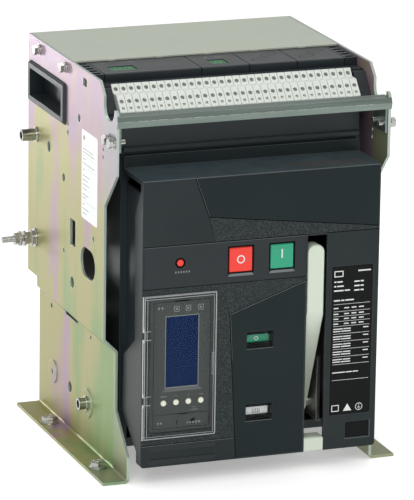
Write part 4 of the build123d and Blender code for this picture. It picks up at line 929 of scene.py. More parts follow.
def capsule(centre: Pair, length: float, width: float, tilt: float, steps: int = 10) -> list[Pair]:
    """Return a bar with round ends.

    Args:
        centre: its centre.
        length: its length over the ends.
        width: its width.
        tilt: its angle from the horizontal, in degrees.
        steps: how many parts each end has.

    Returns:
        The corners, anticlockwise.
    """
    radius, half = width / 2, (length - width) / 2
    turn = math.radians(tilt)
    points = []
    for end, start in ((half, -90), (-half, 90)):
        for i in range(steps + 1):
            a = math.radians(start + 180 * i / steps)
            x, y = end + radius * math.cos(a), radius * math.sin(a)
            points.append((centre[0] + x * math.cos(turn) - y * math.sin(turn),
                           centre[1] + x * math.sin(turn) + y * math.cos(turn)))
    return points


def grown(points: list[Pair], by: float) -> list[Pair]:
    """Return an outline moved outwards from its middle by a set distance.

    Args:
        points: the outline.
        by: the distance.

    Returns:
        The new outline.
    """
    cx, cy = middle(points)
    moved = []
    for x, y in points:
        far = math.hypot(x - cx, y - cy)
        moved.append((x + (x - cx) / far * by, y + (y - cy) / far * by))
    return moved


# ---- Sub-assemblies ----------------------------------------------------------------------


@dataclass
class CadDress:
    """Which finish each carried-over CAD node gets."""

    finishes: dict[object, tuple[str, ...]]

    def build(self) -> None:
        """Put the finishes on the nodes and check that none is left out."""
        left = set(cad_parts)
        for finish, names in self.finishes.items():
            for name in names:
                WARDROBE.dress(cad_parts[name], finish)
                left.discard(name)
        if left:
            raise ValueError(f"no finish for {sorted(left)}")


@dataclass
class FootBolts:
    """Flanged hexagon bolts that fix the feet."""

    half_x: float = 127.0
    half_y: float = 68.0
    sheet: float = 2.5
    flange_r: float = 8.6
    head_r: float = 7.4
    head_h: float = 6.2
    edge_h: float = 0.8
    shank_r: float = 4.0

    def build(self) -> None:
        """Build all four bolts, each turned a little further than the last."""
        places = [(x, y) for x in (-self.half_x, self.half_x) for y in (-self.half_y, self.half_y)]
        for i, (x, y) in enumerate(places):
            head = circle((0, 0), self.head_r, 6, 12.0 + 23.0 * i)
            shoulder = self.head_h - self.edge_h
            bolt = Shape(f"foot_bolt_{i + 1}", Face((x, y, self.sheet), up=BACKWARDS))
            bolt.prism(circle((0, 0), self.shank_r, 32), 0.1 - self.sheet, 0.2)
            bolt.prism(circle((0, 0), self.flange_r, 48), 0.05, 0.9)
            bolt.prism(circle((0, 0), self.flange_r * 0.93, 48), 0.9, 2.1, taper=0.86)
            bolt.prism(head, 1.6, shoulder)
            bolt.prism(head, shoulder, self.head_h, taper=0.88)
            bolt.ring((0, 0), 3.6, 2.6, (self.head_h - 0.05, self.head_h + 0.25), 32)
            bolt.wear(ZINC, "zinc_fasteners", smooth=35)


@dataclass
class Print:
    """Flat printed marks: rules, dashes that stand for lines of writing, and plain symbols."""

    shape: Shape
    depth: Pair

    def rule(self, xs: Pair, y: float, weight: float = 0.35) -> None:
        """Draw a thin line across between two ends, at a height."""
        self.shape.block(xs, (y - weight / 2, y + weight / 2), self.depth)

    def words(self, x: float, y: float, lengths: tuple[float, ...], height: float = 1.1) -> None:
        """Draw a row of short bars that stand for words.

        Args:
            x: where the row starts.
            y: its height.
            lengths: each bar's length.
            height: how tall the bars are.
        """
        for length in lengths:
            self.shape.block((x, x + length), (y - height / 2, y + height / 2), self.depth)
            x += length + height * 0.8

    def frame(self, xs: Pair, ys: Pair, weight: float = 0.3) -> None:
        """Draw the outline of a rectangle.

        Args:
            xs: its limits across.
            ys: its limits upwards.
            weight: the line's thickness.
        """
        self.shape.block(xs, (ys[0], ys[0] + weight), self.depth)
        self.shape.block(xs, (ys[1] - weight, ys[1]), self.depth)
        inner = (ys[0] + weight, ys[1] - weight)
        self.shape.block((xs[0], xs[0] + weight), inner, self.depth)
        self.shape.block((xs[1] - weight, xs[1]), inner, self.depth)


@dataclass
class SideLabel:
    """White identification label on the left side plate."""

    plate_x: float = -127.0
    ys: Pair = (-61.0, -18.0)
    zs: Pair = (219.0, 299.0)
    paper: float = 0.12

    def build(self) -> None:
        """Build the label and its grey lines of stand-in writing."""
        face = Face((self.plate_x, 0.0, 0.0), (0.0, -1.0, 0.0))
        across = (-self.ys[1], -self.ys[0])
        sheet = Shape("side_label", face)
        sheet.prism(rounded(across, self.zs, 3.0), 0.02, self.paper)
        sheet.wear(PAPER, "cream_plastic")
        ink = Print(Shape("side_label_print", face), (self.paper, self.paper + 0.03))
        left, top = across[0] + 3.5, self.zs[1]
        ink.shape.prism(circle((left + 3.0, top - 7.0), 2.4, 24), *ink.depth)
        rows = [(17, (9, 7, 11)), (20, (6, 12, 5, 6)), (26, (4, 3)), (30, (11, 10, 9)),
                (36, (5,)), (41, (4, 9, 4)), (45, (8, 5)), (49, (6, 6, 4)), (53, (3, 7)),
                (58, (6, 9)), (61, (4, 5)), (67, (3, 2)), (71, (5, 4, 6)), (75, (7, 3))]
        for drop, lengths in rows:
            ink.words(left, top - drop, lengths, height=0.7)
        for drop in (23.5, 33.0, 64.0):
            ink.rule((left, across[1] - 3.5), top - drop, 0.2)
        ink.shape.wear(GREY_INK)


@dataclass
class RatingPlate:
    """Black rating label with pale rules on the right of the cover."""

    xs: Pair = (66.3, 104.7)
    zs: Pair = (50.8, 186.7)
    sunk: float = 0.6

    def build(self) -> None:
        """Build the label, its table of rules and its plain symbols."""
        face = Face((0.0, FRONT_Y + self.sunk, 0.0))
        sheet = Shape("rating_label", face)
        sheet.prism(rounded(self.xs, self.zs, 1.2), 0.02, self.sunk - 0.2)
        sheet.wear(LABEL_BLACK)
        ink = Print(Shape("rating_print", face), (self.sunk - 0.2, self.sunk - 0.15))
        left, right, top = self.xs[0] + 2.0, self.xs[1] - 2.0, self.zs[1]
        ink.frame((left, left + 8.5), (top - 9.5, top - 4.0), 0.8)
        ink.words(right - 12.0, top - 5.0, (12.0,), 1.2)
        for drop, lengths in ((14, (2, 5)), (18, (2, 6)), (22, (9, 5))):
            ink.words(left, top - drop, lengths, 1.2)
            ink.words(left + 19, top - drop - 0.6, (5, 3), 1.2)
        ink.words(left, top - 31, (6, 3, 8), 1.2)
        for drop in (34.5, 41.0, 45.5, 50.0, *(54.5 + 7.0 * i for i in range(6)), 104.0):
            ink.rule((left, right), top - drop, 0.3)
        for drop in (38, 43.3, 47.8, 52.3):
            for column in (0, 10, 17, 24):
                ink.words(left + column, top - drop, (4.6,), 1.0)
        for drop in (57, 64, 71, 78, 85):
            ink.words(left, top - drop, (9, 7), 0.9)
            ink.words(left, top - drop - 2.2, (7, 9), 0.9)
            ink.words(right - 6, top - drop, (5,), 0.9)
        ink.words(left, top - 97, (12, 6, 5), 0.9)
        self.symbols(ink, left, self.zs[0] + 6.0)
        ink.shape.wear(WHITE_INK, "cream_plastic")

    def symbols(self, ink: Print, left: float, z: float) -> None:
        """Draw three plain symbols: a frame, a triangle and a circled earth sign.

        Args:
            ink: the print they join.
            left: where they start.
            z: their middle height.
        """
        ink.frame((left, left + 7.0), (z - 3.0, z + 3.0), 0.7)
        triangle = [(left + 11, z - 3.0), (left + 19, z - 3.0), (left + 15, z + 3.6)]
        ink.shape.prism(triangle, *ink.depth)
        ink.shape.ring((left + 26, z), 3.4, 2.9, ink.depth, 28)
        ink.shape.block((left + 25.8, left + 26.2), (z - 0.4, z + 2.4), ink.depth)
        for i, half in enumerate((1.7, 1.1, 0.5)):
            ink.rule((left + 26 - half, left + 26 + half), z - 0.5 - 0.8 * i, 0.3)


@dataclass
class ButtonMarks:
    """The ring and the bar on the two push buttons."""

    proud: float = 0.06

    def build(self) -> None:
        """Build both marks so that each rides on its own button."""
        depth = (-0.02, self.proud)
        ring = Shape("off_button_ring", Face((BUTTON_XS[0], FRONT_Y, BUTTON_Z)))
        ring.ring((0.0, 0.2), 3.7, 2.6, depth)
        ring.wear(WHITE_INK, "cream_plastic", "off_button")
        bar = Shape("on_button_bar", Face((BUTTON_XS[1], FRONT_Y, BUTTON_Z)))
        bar.block((-0.6, 0.6), (-1.6, 6.4), depth)
        bar.wear(WHITE_INK, "cream_plastic", "on_button")


@dataclass
class ResetMarks:
    """A row of short printed blocks under the reset button."""

    left: float = -80.0
    z: float = 194.2
    lengths: tuple[float, ...] = (1.1,) * 6

    def build(self) -> None:
        """Build the row."""
        ink = Print(Shape("reset_button_print", FRONT), (0.0, 0.05))
        ink.words(self.left, self.z, self.lengths, 1.7)
        ink.shape.wear(GREY_INK, "cream_plastic")


@dataclass
class Flags:
    """Coloured fields on the two indicators behind the windows."""

    flag_y: float = -124.5
    step: float = 14.0
    half_w: float = 10.3
    half_h: float = 4.6
    depth: Pair = (0.2, 0.26)

    def build(self) -> None:
        """Build the shown field and the next field of each flag."""
        state_z, charge_z = WINDOW_ZS
        for name, body, z, finish, sign in (
                ("state_open", "state_flag", state_z, GREEN, "ring"),
                ("state_closed", "state_flag", state_z - self.step, RED, "bar"),
                ("charge_free", "charge_flag", charge_z, PAPER, "coil"),
                ("charge_loaded", "charge_flag", charge_z - self.step, CREAM, "coil")):
            face = Face((0.0, self.flag_y, z))
            field = Shape(name + "_field", face)
            outline = rounded((-self.half_w, self.half_w), (-self.half_h, self.half_h), 0.6)
            field.prism(outline, 0.0, self.depth[0])
            field.wear(finish, "cream_plastic", body)
            mark = Shape(name + "_mark", face)
            if sign == "ring":
                mark.ring((-1.5, 0.0), 1.9, 1.2, self.depth, 28)
            elif sign == "bar":
                mark.block((-0.5, 0.5), (-2.2, 2.2), self.depth)
            else:
                for i in range(5):
                    mark.block((-4.2 + 1.6 * i, -3.6 + 1.6 * i), (-1.6, 1.6), self.depth)
                mark.block((-4.2, 2.8), (-2.1, -1.7), self.depth)
            mark.wear(DARK_INK if sign == "coil" else WHITE_INK, "black_moulding", body)


@dataclass
class TripMarks:
    """Printed signs, border lines and the screen's bezel on the trip unit's face."""

    icon_z: float = 161.0
    icon_xs: tuple[float, ...] = (-77.3, -66.6, -55.1)
    panel_x: Pair = (-98.3, -45.9)
    panel_z: Pair = (53.0, 167.8)
    divide_z: float = 65.8

    def build(self) -> None:
        """Build the border lines, the icon row, the key signs and the bezel."""
        face = Face((0.0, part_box("trip_unit")[0].y / MM, 0.0))
        self.signs(face)
        self.lines(face)
        self.bezel(face)

    def signs(self, face: Face) -> None:
        """Print the icon row, the key signs and the lower row.

        Args:
            face: the trip unit's front.
        """
        ink = Print(Shape("trip_unit_print", face), (0.0, 0.05))
        for x in self.icon_xs:
            ink.frame((x - 2.4, x + 2.4), (self.icon_z - 2.5, self.icon_z + 2.5), 0.55)
            ink.shape.block((x - 0.9, x + 0.9), (self.icon_z - 0.9, self.icon_z + 0.8),
                            ink.depth)
        ink.words(self.panel_x[0] + 4.1, self.icon_z + 1.4, (1.3, 1.3), 2.2)
        keys = [sum(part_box(f"trip_key_{i}"), Vector()) / (2 * MM) for i in range(1, 5)]
        sign_z = keys[0].z + 5.9
        ink.words(keys[0].x - 2.6, sign_z, (1.2, 1.2, 1.2), 1.1)
        for key in keys[1:3]:
            ink.words(key.x - 0.7, sign_z, (1.4,), 0.5)
        ink.rule((keys[3].x - 1.5, keys[3].x + 2.2), sign_z - 0.4, 0.5)
        ink.words(-61.8, 70.8, (1.6, 1.0), 0.5)
        ink.rule((-63.0, -56.8), 68.5, 0.5)
        ink.words(-94.1, 58.2, (1.3, 1.5), 1.7)
        ink.words(-66.6, 57.0, (1.0, 1.3, 1.5, 1.5, 1.5), 1.7)
        ink.shape.wear(GREY_INK, "cream_plastic")

    def lines(self, face: Face) -> None:
        """Print the dark border, the dividing line and the latch marks.

        Args:
            face: the trip unit's front.
        """
        lines = Print(Shape("trip_unit_lines", face), (0.0, 0.04))
        lines.frame(self.panel_x, self.panel_z, 0.4)
        lines.rule(self.panel_x, self.divide_z, 0.4)
        for x in (-76.0, -46.6):
            lines.shape.block((x - 0.4, x + 0.4), (55.6, 60.4), lines.depth)
        top = self.panel_z[1]
        lines.shape.block((-79.0, -66.0), (top - 0.6, top + 0.7), lines.depth)
        lines.shape.block((-75.0, -66.5), (self.divide_z - 0.9, self.divide_z + 0.3), lines.depth)
        lines.shape.wear(GAP_SHADE_AND_INK)

    def bezel(self, face: Face) -> None:
        """Build the screen's thin frame and the sloping lip under it.

        Args:
            face: the trip unit's front.
        """
        low, high = (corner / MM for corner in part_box("trip_screen"))
        x0, x1, z0, z1 = low.x, high.x, low.z, high.z
        rim = Print(Shape("screen_bezel", face), (-0.5, 0.12))
        for xs in ((x0 - 0.2, x0 + 0.25), (x1 - 0.25, x1 + 0.2)):
            rim.shape.block(xs, (z0, z1), rim.depth)
        for z in (z1, z0):
            rim.shape.block((x0 - 0.2, x1 + 0.2), (z - 0.3, z + 0.25), rim.depth)
        rim.shape.wear(BEZEL, "trip_housing")
        lip = Shape("screen_lip", face)
        corners = [(x0 - 2.6, z0 - 3.8), (x1 + 3.8, z0 - 3.6), (x1, z0 - 0.3), (x0, z0 - 0.3)]
        lip.prism(corners, 0.0, 0.35, taper=0.985)
        lip.wear(LIP, "trip_housing")


@dataclass
class TerminalMarks:
    """A printed dash between the screw rows of every terminal, and painted shade in the slot at its
    foot.
    """

    count: int = 32
    pitch: float = 7.0
    step: Triple = (0.0, -60.5, 337.9)
    front_y: float = -76.5
    foot_zs: Pair = (321.2, 322.6)

    def build(self) -> None:
        """Build all the dashes as one print and all the painted slot shade as one piece."""
        ink = Print(Shape("terminal_print", Face(self.step, up=BACKWARDS)), (0.0, 0.05))
        # The feet are near-black blocks: painted shade in each terminal's slot.
        feet = Shape("terminal_feet", Face((0.0, self.front_y, 0.0)))
        for i in range(self.count):
            x = (i - (self.count - 1) / 2) * self.pitch
            ink.words(x - 1.6, 0.0, (3.2,), 0.9)
            feet.block((x - 2.6, x + 1.6), self.foot_zs, (-0.02, 0.3))
        ink.shape.wear(GREY_INK)
        feet.wear(GAP_SHADE_AND_INK)


@dataclass
class CoverSeams:
    """Painted shade in the seams and painted highlights along the edges between the cover's panels.
    """

    top: float = 276.3
    foot: float = 39.6
    knee: Pair = (-49.5, 241.3)
    depth: Pair = (0.0, 0.05)

    def build(self) -> None:
        """Build the painted seam shade as one piece and the painted edge highlights as another."""
        side, (low, high), (near, far) = COVER_SIDE, BAND_ZS, SLOT_XS
        # Near-black strips: painted shade in the seams between the panels.
        self.draw("cover_seams", GAP_SHADE_AND_INK, [
            ([(-62.1, self.top), self.knee, (-21.0, 237.5), (side, 221.4)], 0.75),
            ([self.knee, (-44.2, 219.0)], 0.35),
            ([(-side, high), (near, high)], 0.7),
            ([(far, high), (side, high)], 0.7),
            ([(-side, low), (near - 1.0, low)], 0.5),
            ([(near - 1.2, 177.0), (-29.1, 152.4), (-26.7, 110.7), (-21.6, 20.4)], 0.7),
            ([(-side, self.foot), (-22.9, self.foot)], 0.5)])
        # Pale strips: painted highlights on the lit panel edges.
        self.draw("cover_edge_highlights", EDGE_HIGHLIGHT, [
            ([(-28.4, 151.9), (near - 1.4, 176.3)], 0.35),
            ([(-26.0, 110.7), (-28.2, 151.6)], 0.2),
            ([(-61.3, 276.0), (-48.9, 241.9)], 0.2),
            ([(-side, high - 0.7), (near - 0.6, high - 0.7)], 0.25),
            ([(-side, self.foot - 0.7), (-23.2, self.foot - 0.7)], 0.3),
            ([(-side, self.top + 0.3), (side, self.top + 0.3)], 0.3)])

    def draw(self, name: str, look: Moulding, paths: list[tuple[list[Pair], float]]) -> None:
        """Build one piece from strips on the cover's front.

        Args:
            name: the piece's name.
            look: its finish.
            paths: each strip's path and its width.
        """
        strips = Shape(name, FRONT)
        for path, width in paths:
            strips.ribbon(path, width, self.depth)
        strips.wear(look)


@dataclass
class CoverRecesses:
    """Flush strips that narrow the left recess, and the shiny plate in the small one."""

    wide_xs: Pair = (-101.8, -41.7)
    plate_y: float = -130.0

    def build(self) -> None:
        """Build the strips, the plate and the painted highlight along its rim."""
        strips = Shape("lower_left_strips", FRONT)
        for zs in ((22.7, 26.0), (33.5, 37.3)):
            strips.block(self.wide_xs, zs, (-0.78, -0.02))
        strips.wear(BAND)
        plate = Shape("small_plate", Face((0.0, self.plate_y, 0.0)))
        plate.prism(rounded((81.9, 104.1), (28.8, 43.1), 0.8), 0.02, 0.15)
        plate.wear(LABEL_BLACK)
        # Pale line along the plate's lower and right edges: a painted highlight.
        rim = Shape("small_plate_rim", FRONT)
        rim.ribbon([(81.2, 28.0), (104.8, 28.0), (104.8, 43.8)], 0.35, (0.0, 0.05))
        rim.wear(EDGE_HIGHLIGHT)


@dataclass
class ButtonTrim:
    """Lips below the buttons in painted highlight, painted shade in the gaps round them, the strips
    along their tops and the reset button's collar in painted shade.
    """

    half_w: float = 10.6
    half_h: float = 10.9
    reset: Triple = (-75.3, FRONT_Y, 202.4)

    def build(self) -> None:
        """Build the trim of both buttons and the reset button."""
        wide, low, high = self.half_w, -self.half_h, self.half_h
        for x, body, slot, look in ((BUTTON_XS[0], "off_button", "red_button", RED),
                                    (BUTTON_XS[1], "on_button", "green_button", GREEN)):
            face = Face((x, FRONT_Y, BUTTON_Z))
            # The lip's pale colour is a painted highlight where light catches it.
            lip = Shape(body + "_lip", face)
            lip.prism([(-12.2, low - 3.6), (12.2, low - 3.6), (10.4, low - 1.2), (-10.4, low - 1.2)],
                      0.0, 0.7, taper=0.97)
            lip.wear(EDGE_HIGHLIGHT)
            # A near-black band round the button: painted shadow in its opening.
            gap = Shape(body + "_gap", face)
            gap.band(rounded((-wide - 1.5, wide + 1.5), (low - 1.2, high + 1.6), 0.6),
                     rounded((-wide - 0.7, wide + 0.7), (low - 0.7, high + 0.7), 0.3), (0.0, 0.06))
            gap.wear(GAP_SHADE_AND_INK)
            strip = Shape(body + "_strip", face)
            inner = wide - 0.5
            strip.prism([(-inner, high - 3.2), (inner, high - 3.2), (inner, high - 0.6),
                         (-inner, high - 0.6)], -0.02, 0.55, taper=0.94)
            strip.wear(look, slot, body)
        # The near-black collar is painted shade round the reset button.
        collar = Shape("reset_button_collar", Face(self.reset))
        collar.ring((0.0, 0.0), 4.6, 3.75, (0.0, 0.35))
        collar.wear(GAP_SHADE_AND_INK, smooth=40)


@dataclass
class WindowMasks:
    """Flush frames that narrow the two windows, painted shade as dark sills behind the lenses, and a
    painted highlight along each window's lower edge.
    """

    hole: Pair = (12.7, 9.7)
    seen_x: Pair = (-12.6, 12.1)
    seen_z: Pair = (-7.2, 7.6)
    sill_ys: Pair = (-129.2, -125.1)

    def build(self) -> None:
        """Build a frame, a sill of painted shade and an edge line of painted highlight in each
        window.
        """
        wide, tall = self.hole
        near, far = self.sill_ys
        for name, z in zip(("state", "charge"), WINDOW_ZS):
            face = Face((0.0, FRONT_Y, z))
            border = Shape(name + "_window_frame", face)
            border.band(rounded((-wide, wide), (-tall, tall), 0.8),
                        rounded(self.seen_x, self.seen_z, 0.3), (-1.0, -0.02))
            border.wear(PANEL, "panel_moulding")
            # The sills are near-black painted shade inside the window.
            sill = Shape(name + "_window_sill", Face((0.0, 0.0, z), BACKWARDS))
            for low, high in ((-9.6, -3.2), (4.9, 9.6)):
                sill.prism([(near, low), (far, low), (far, high), (near, high)], *self.seen_x)
            sill.wear(GAP_SHADE_AND_INK)
            # Painted highlight along the window's lower edge.
            edge = Shape(name + "_window_edge", face)
            edge_z = self.seen_z[0] - 0.2
            edge.ribbon([(self.seen_x[0], edge_z), (self.seen_x[1], edge_z)], 0.4, (0.0, 0.05))
            edge.wear(EDGE_HIGHLIGHT)


@dataclass
class DoorRim:
    """Painted highlights on the clear door: its rims, hinge strip and knuckles drawn bright."""

    face_y: float = -133.7
    xs: Pair = (-108.2, -41.9)
    zs: Pair = (45.7, 174.5)
    knuckles: Pair = (140.0, 81.0)
    depth: Pair = (0.0, 0.25)

    def build(self) -> None:
        """Build the rims and the knuckle marks on the door as painted highlights."""
        rim = Shape("door_rim_highlight", Face((0.0, self.face_y, 0.0)))
        (left, right), (low, high) = self.xs, self.zs
        rim.band(rounded(self.xs, self.zs, 1.5),
                 rounded((left + 0.7, right - 0.7), (low + 0.7, high - 0.7), 1.0), self.depth)
        hinge, far = left + 2.8, right - 2.4
        for ends, width in (([(far, low + 2.2), (far, high - 2.2)], 0.4),
                            ([(left + 1.2, high - 2.4), (far, high - 2.4)], 0.5),
                            ([(left + 1.2, low + 2.2), (far, low + 2.2)], 0.3),
                            ([(hinge, low + 2.0), (hinge, high - 2.0)], 0.3)):
            rim.ribbon(ends, width, self.depth)
        for z in self.knuckles:
            for zs in ((z - 4.3, z - 3.6), (z + 3.6, z + 4.1)):
                rim.block((left + 1.3, left + 5.9), zs, self.depth)
        rim.wear(DOOR_RIM_HIGHLIGHT, "clear_plastic", "door")


@dataclass
class BarRidge:
    """Painted highlight along the cross bar's ridge edge."""

    y: float = -112.75
    z: float = 325.6
    half: float = 121.0

    def build(self) -> None:
        """Build the painted ridge highlight as a slim zinc strip with uneven breaks."""
        # A bright zinc strip standing for the painted highlight on the ridge edge.
        ridge = Shape("bar_ridge_highlight", Face((0.0, self.y, self.z)))
        start = -self.half
        for i in range(22):
            length = 7.0 + 3.0 * math.sin(2.3 * i)
            ridge.block((start, start + length), (-0.22, 0.22), (-0.35, 0.06))
            start += length + 3.6 + 1.8 * math.cos(1.7 * i)
        ridge.wear(ZINC, "cross_bar_steel")


@dataclass
class BlankMarks:
    """Engraved capsules on the blank module covers."""

    centres: tuple[Pair, ...] = ((38.0, -18.0), (52.0, -4.0), (83.0, -18.0), (97.0, -4.0))
    length: float = 17.0
    width: float = 7.0
    tilt: float = 28.0

    def build(self) -> None:
        """Build the engraved outlines as thin near-black bands of painted groove shade."""
        mark = Shape("blank_module_marks", Face((0.0, 0.0, MODULE_TOP), up=BACKWARDS))
        for centre in self.centres:
            outline = capsule(centre, self.length, self.width, self.tilt)
            mark.band(grown(outline, 0.4), outline, (0.0, 0.04))
        mark.wear(GAP_SHADE_AND_INK)


@dataclass
class PlugScrews:
    """Slotted screws in the green plugs."""

    rows: tuple[tuple[float, float, int], ...] = ((-101.0, -78.5, 5), (-8.0, 6.5, 3))
    y: float = -17.0
    top_z: float = 347.6
    radius: float = 1.2

    def build(self) -> None:
        """Build every screw head, with its slot drawn in painted shade."""
        face = Face((0.0, self.y, self.top_z), up=BACKWARDS)
        heads, slots = Shape("plug_screws", face), Shape("plug_screw_slots", face)
        for start, end, count in self.rows:
            for i in range(count):
                x = start + (i + 0.5) * (end - start) / count
                heads.prism(circle((x, 0.0), self.radius, 20), 0.0, 1.6, taper=0.9)
                # Near-black slot: painted shade inside the screw's slot.
                slots.prism(capsule((x, 0.0), 1.8, 0.3, 40.0 + 50.0 * i, 3), 1.6, 1.64)
        heads.wear(PLUG_SCREW, "green_plug", smooth=40)
        slots.wear(GAP_SHADE_AND_INK)


@dataclass
class EarthStudThread:
    """Threaded earth stud with a rolled thread and a dog point."""

    root_x: float = -124.5
    tip_x: float = -159.0
    y: float = 112.0
    z: float = 166.0
    outer_r: float = 3.0
    inner_r: float = 2.62
    pitch: float = 1.0
    sides: int = 28

    def build(self) -> None:
        """Build the thread as a helical skin, with its head inside the plate."""
        face = Face((0.0, self.y, self.z), (0.0, -1.0, 0.0))
        stud = Shape("earth_stud_thread", face)
        start, end = -self.root_x, -self.tip_x
        steps = int((end - start) / self.pitch * 4)
        loops = []
        for i in range(steps + 1):
            height = start + (end - start) * i / steps
            loop = []
            for k in range(self.sides):
                phase = (height / self.pitch + k / self.sides) % 1.0
                ridge = 1.0 - abs(phase - 0.5) * 2.0
                radius = self.inner_r + (self.outer_r - self.inner_r) * ridge
                radius = min(radius, self.outer_r - 0.55 * max(0.0, 1.0 - (end - height) / 0.8))
                a = 2 * math.pi * k / self.sides
                loop.append(stud.mesh.verts.new((radius * math.cos(a), radius * math.sin(a), height)))
            loops.append(loop)
        for lower, upper in zip(loops, loops[1:]):
            for k in range(self.sides):
                m = (k + 1) % self.sides
                stud.mesh.faces.new((lower[k], lower[m], upper[m], upper[k]))
        stud.mesh.faces.new(list(reversed(loops[0])))
        stud.mesh.faces.new(loops[-1])
        stud.prism(circle((0, 0), 6.4, 36), start - 3.0, start)
        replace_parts(stud.wear(ZINC, "zinc_fasteners", smooth=40), "earth_stud")


@dataclass
class ModuleMarks:
    """Small prints on the accessory modules."""

    dot: Pair = (-6.0, 0.5)

    def build(self) -> None:
        """Build the prints as one piece."""
        face = Face((0.0, 0.0, MODULE_TOP), up=BACKWARDS)
        ink = Print(Shape("module_print", face), (0.0, 0.05))
        ink.shape.prism(circle(self.dot, 1.3, 20), *ink.depth)
        for x, y, lengths in ((-106, 3, (6,)), (-80, 4, (4, 5)), (-80, 1.5, (7, 3)), (2, -2, (4, 6)),
                              (2, 0.5, (8,)), (-30, -28, (2,)), (12, -28, (2,))):
            ink.words(x, y, lengths, 0.7)
        ink.shape.wear(GREY_INK)


# ---- Stage -------------------------------------------------------------------------------


@dataclass
class Studio:
    """Pale floor, soft lights and the camera."""

    yaw: float = -0.358185745
    pitch: float = -0.26964627
    roll: float = -0.0148436778
    place: Triple = (-1.2705, -3.3892, 1.1734)
    lens: float = 301.4

    def build(self) -> None:
        """Build the floor, the world, the lights and the camera."""
        self.floor()
        self.world()
        self.light("key_light", (-0.9, -2.0, 1.7), (1.4, 1.4), 29.0)
        self.light("left_light", (-2.3, 0.3, 0.9), (1.6, 1.6), 5.0)
        self.light("rear_left_light", (-0.95, 2.0, 0.16), (0.20, 0.20), 9.0)
        self.light("right_light", (1.9, -1.0, 1.2), (0.8, 1.6), 7.0)
        self.light("top_light", (0.1, 0.5, 2.3), (1.6, 1.6), 18.0)
        bpy.context.scene.view_settings.view_transform = "Standard"
        self.camera()

    def floor(self) -> None:
        """Build the floor as a large flat pale sheet."""
        mesh = bpy.data.meshes.new("floor")
        size = 14.0
        corners = [(-size, -size, 0), (size, -size, 0), (size, size, 0), (-size, size, 0)]
        mesh.from_pydata(corners, [], [(0, 1, 2, 3)])
        floor = bpy.data.objects.new("floor", mesh)
        bpy.context.scene.collection.objects.link(floor)
        made = Dresser("floor_paper")
        grain = made.use(Effect.GRAIN, Scale=60.0, Contrast=1.0)
        paper = made.blend(grain.outputs["Cloud"], rgb(0.90, 0.90, 0.90), rgb(0.94, 0.94, 0.94))
        made.put(Base_Color=paper, Roughness=0.9, Emission_Color=rgb(1.0, 1.0, 1.0),
                 Emission_Strength=0.36)
        mesh.materials.append(made.material)

    def world(self) -> None:
        """Fill the surroundings with even pale light."""
        world = bpy.data.worlds.new("studio")
        world.use_nodes = True
        shade = world.node_tree.nodes["Background"]
        shade.inputs["Color"].default_value = rgb(1.0, 1.0, 1.0)
        shade.inputs["Strength"].default_value = 0.50
        bpy.context.scene.world = world

    def light(self, name: str, place: Triple, size: Pair, power: float) -> None:
        """Add an area light that looks at the object.

        Args:
            name: its name.
            place: where it hangs, in metres.
            size: its width and height in metres.
            power: its power in watts.
        """
        data = bpy.data.lights.new(name, "AREA")
        data.shape = "RECTANGLE"
        data.size, data.size_y = size
        data.energy = power
        lamp = bpy.data.objects.new(name, data)
        lamp.location = place
        aim = Vector((0.0, 0.0, 0.17)) - Vector(place)
        lamp.rotation_euler = aim.to_track_quat("-Z", "Y").to_euler()
        bpy.context.scene.collection.objects.link(lamp)

    def camera(self) -> None:
        """Place the camera and make it the scene's own."""
        data = bpy.data.cameras.new("camera")
        data.lens = self.lens
        data.sensor_width = 36.0
        data.clip_end = 60.0
        camera = bpy.data.objects.new("camera", data)
        turn = Matrix.Rotation(self.yaw, 4, "Z")
        for angle, axis in ((self.pitch, "X"), (self.roll, "Y"), (math.pi / 2, "X")):
            turn = turn @ Matrix.Rotation(angle, 4, axis)
        camera.matrix_world = Matrix.Translation(self.place) @ turn
        bpy.context.scene.collection.objects.link(camera)
        bpy.context.scene.camera = camera


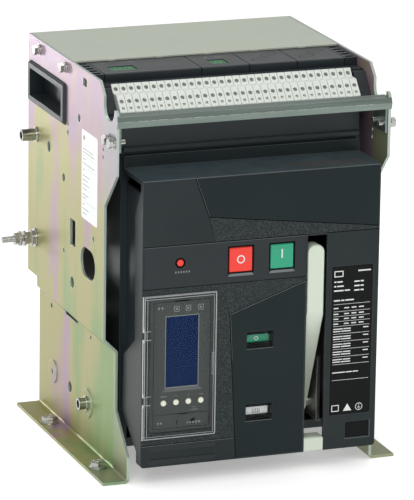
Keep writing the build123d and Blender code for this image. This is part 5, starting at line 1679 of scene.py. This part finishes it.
def main() -> None:
    """Build every sub-assembly in order."""
    logging.basicConfig(level=logging.INFO)
    parts = {
        "cad finishes": CadDress({
            SHEET: ("side_plate_left", "side_plate_right"),
            ZINC: ("frame_bolts", "support_pins", "earth_stud", "earth_nuts", "terminal_screws",
                   "trip_door_pins", "handle_pin", "contact_pins", "closing_spring"),
            BAR_STEEL: ("cross_bar",),
            LID: ("top_cover",),
            STEEL: ("mechanism_frame", "charging_shaft", "ratchet_wheel", "pole_shaft", "close_latch",
                    "trip_latch", "splitter_plates"),
            BLACK: ("front_housing", "accessory_double", "accessory_single", "accessory_blanks",
                    "end_blocks", "terminal_support", "handhold_left", "handhold_right"),
            COVER: ("front_cover",),
            PANEL: ("upper_fascia", "mechanism_fascia"),
            BAND: ("button_fascia",),
            POLE: ("rear_housing", "barrier_plate", "current_transformers"),
            FIBRE: ("arc_chutes",),
            TRIP: ("trip_unit",),
            CLEAR: ("trip_door",),
            LENS: ("window_lenses",),
            SCREEN: ("trip_screen",),
            TERMINAL: ("terminal_blocks",),
            GREEN_PLUG: ("accessory_plugs",),
            RED: ("off_button", "reset_button"),
            GREEN: ("on_button",),
            CREAM: ("charging_handle", "slot_sill", "state_flag", "charge_flag"),
            KEY: ("trip_key_1", "trip_key_2", "trip_key_3", "trip_key_4"),
            COPPER: ("upper_terminals", "lower_terminals", "moving_contact_1", "moving_contact_2",
                     "moving_contact_3"),
        }),
        "foot bolts": FootBolts(),
        "side label": SideLabel(),
        "rating plate": RatingPlate(),
        "button marks": ButtonMarks(),
        "reset button print": ResetMarks(),
        "flags": Flags(),
        "trip unit print": TripMarks(),
        "terminal print": TerminalMarks(),
        "cover seams": CoverSeams(),
        "cover recesses": CoverRecesses(),
        "button trim": ButtonTrim(),
        "window masks": WindowMasks(),
        "door rim": DoorRim(),
        "bar ridge": BarRidge(),
        "blank marks": BlankMarks(),
        "plug screws": PlugScrews(),
        "earth stud": EarthStudThread(),
        "module print": ModuleMarks(),
        "studio": Studio(),
    }
    for name, part in parts.items():
        part.build()
        LOG.info("made %s", name)


if __name__ == "__main__":
    main()
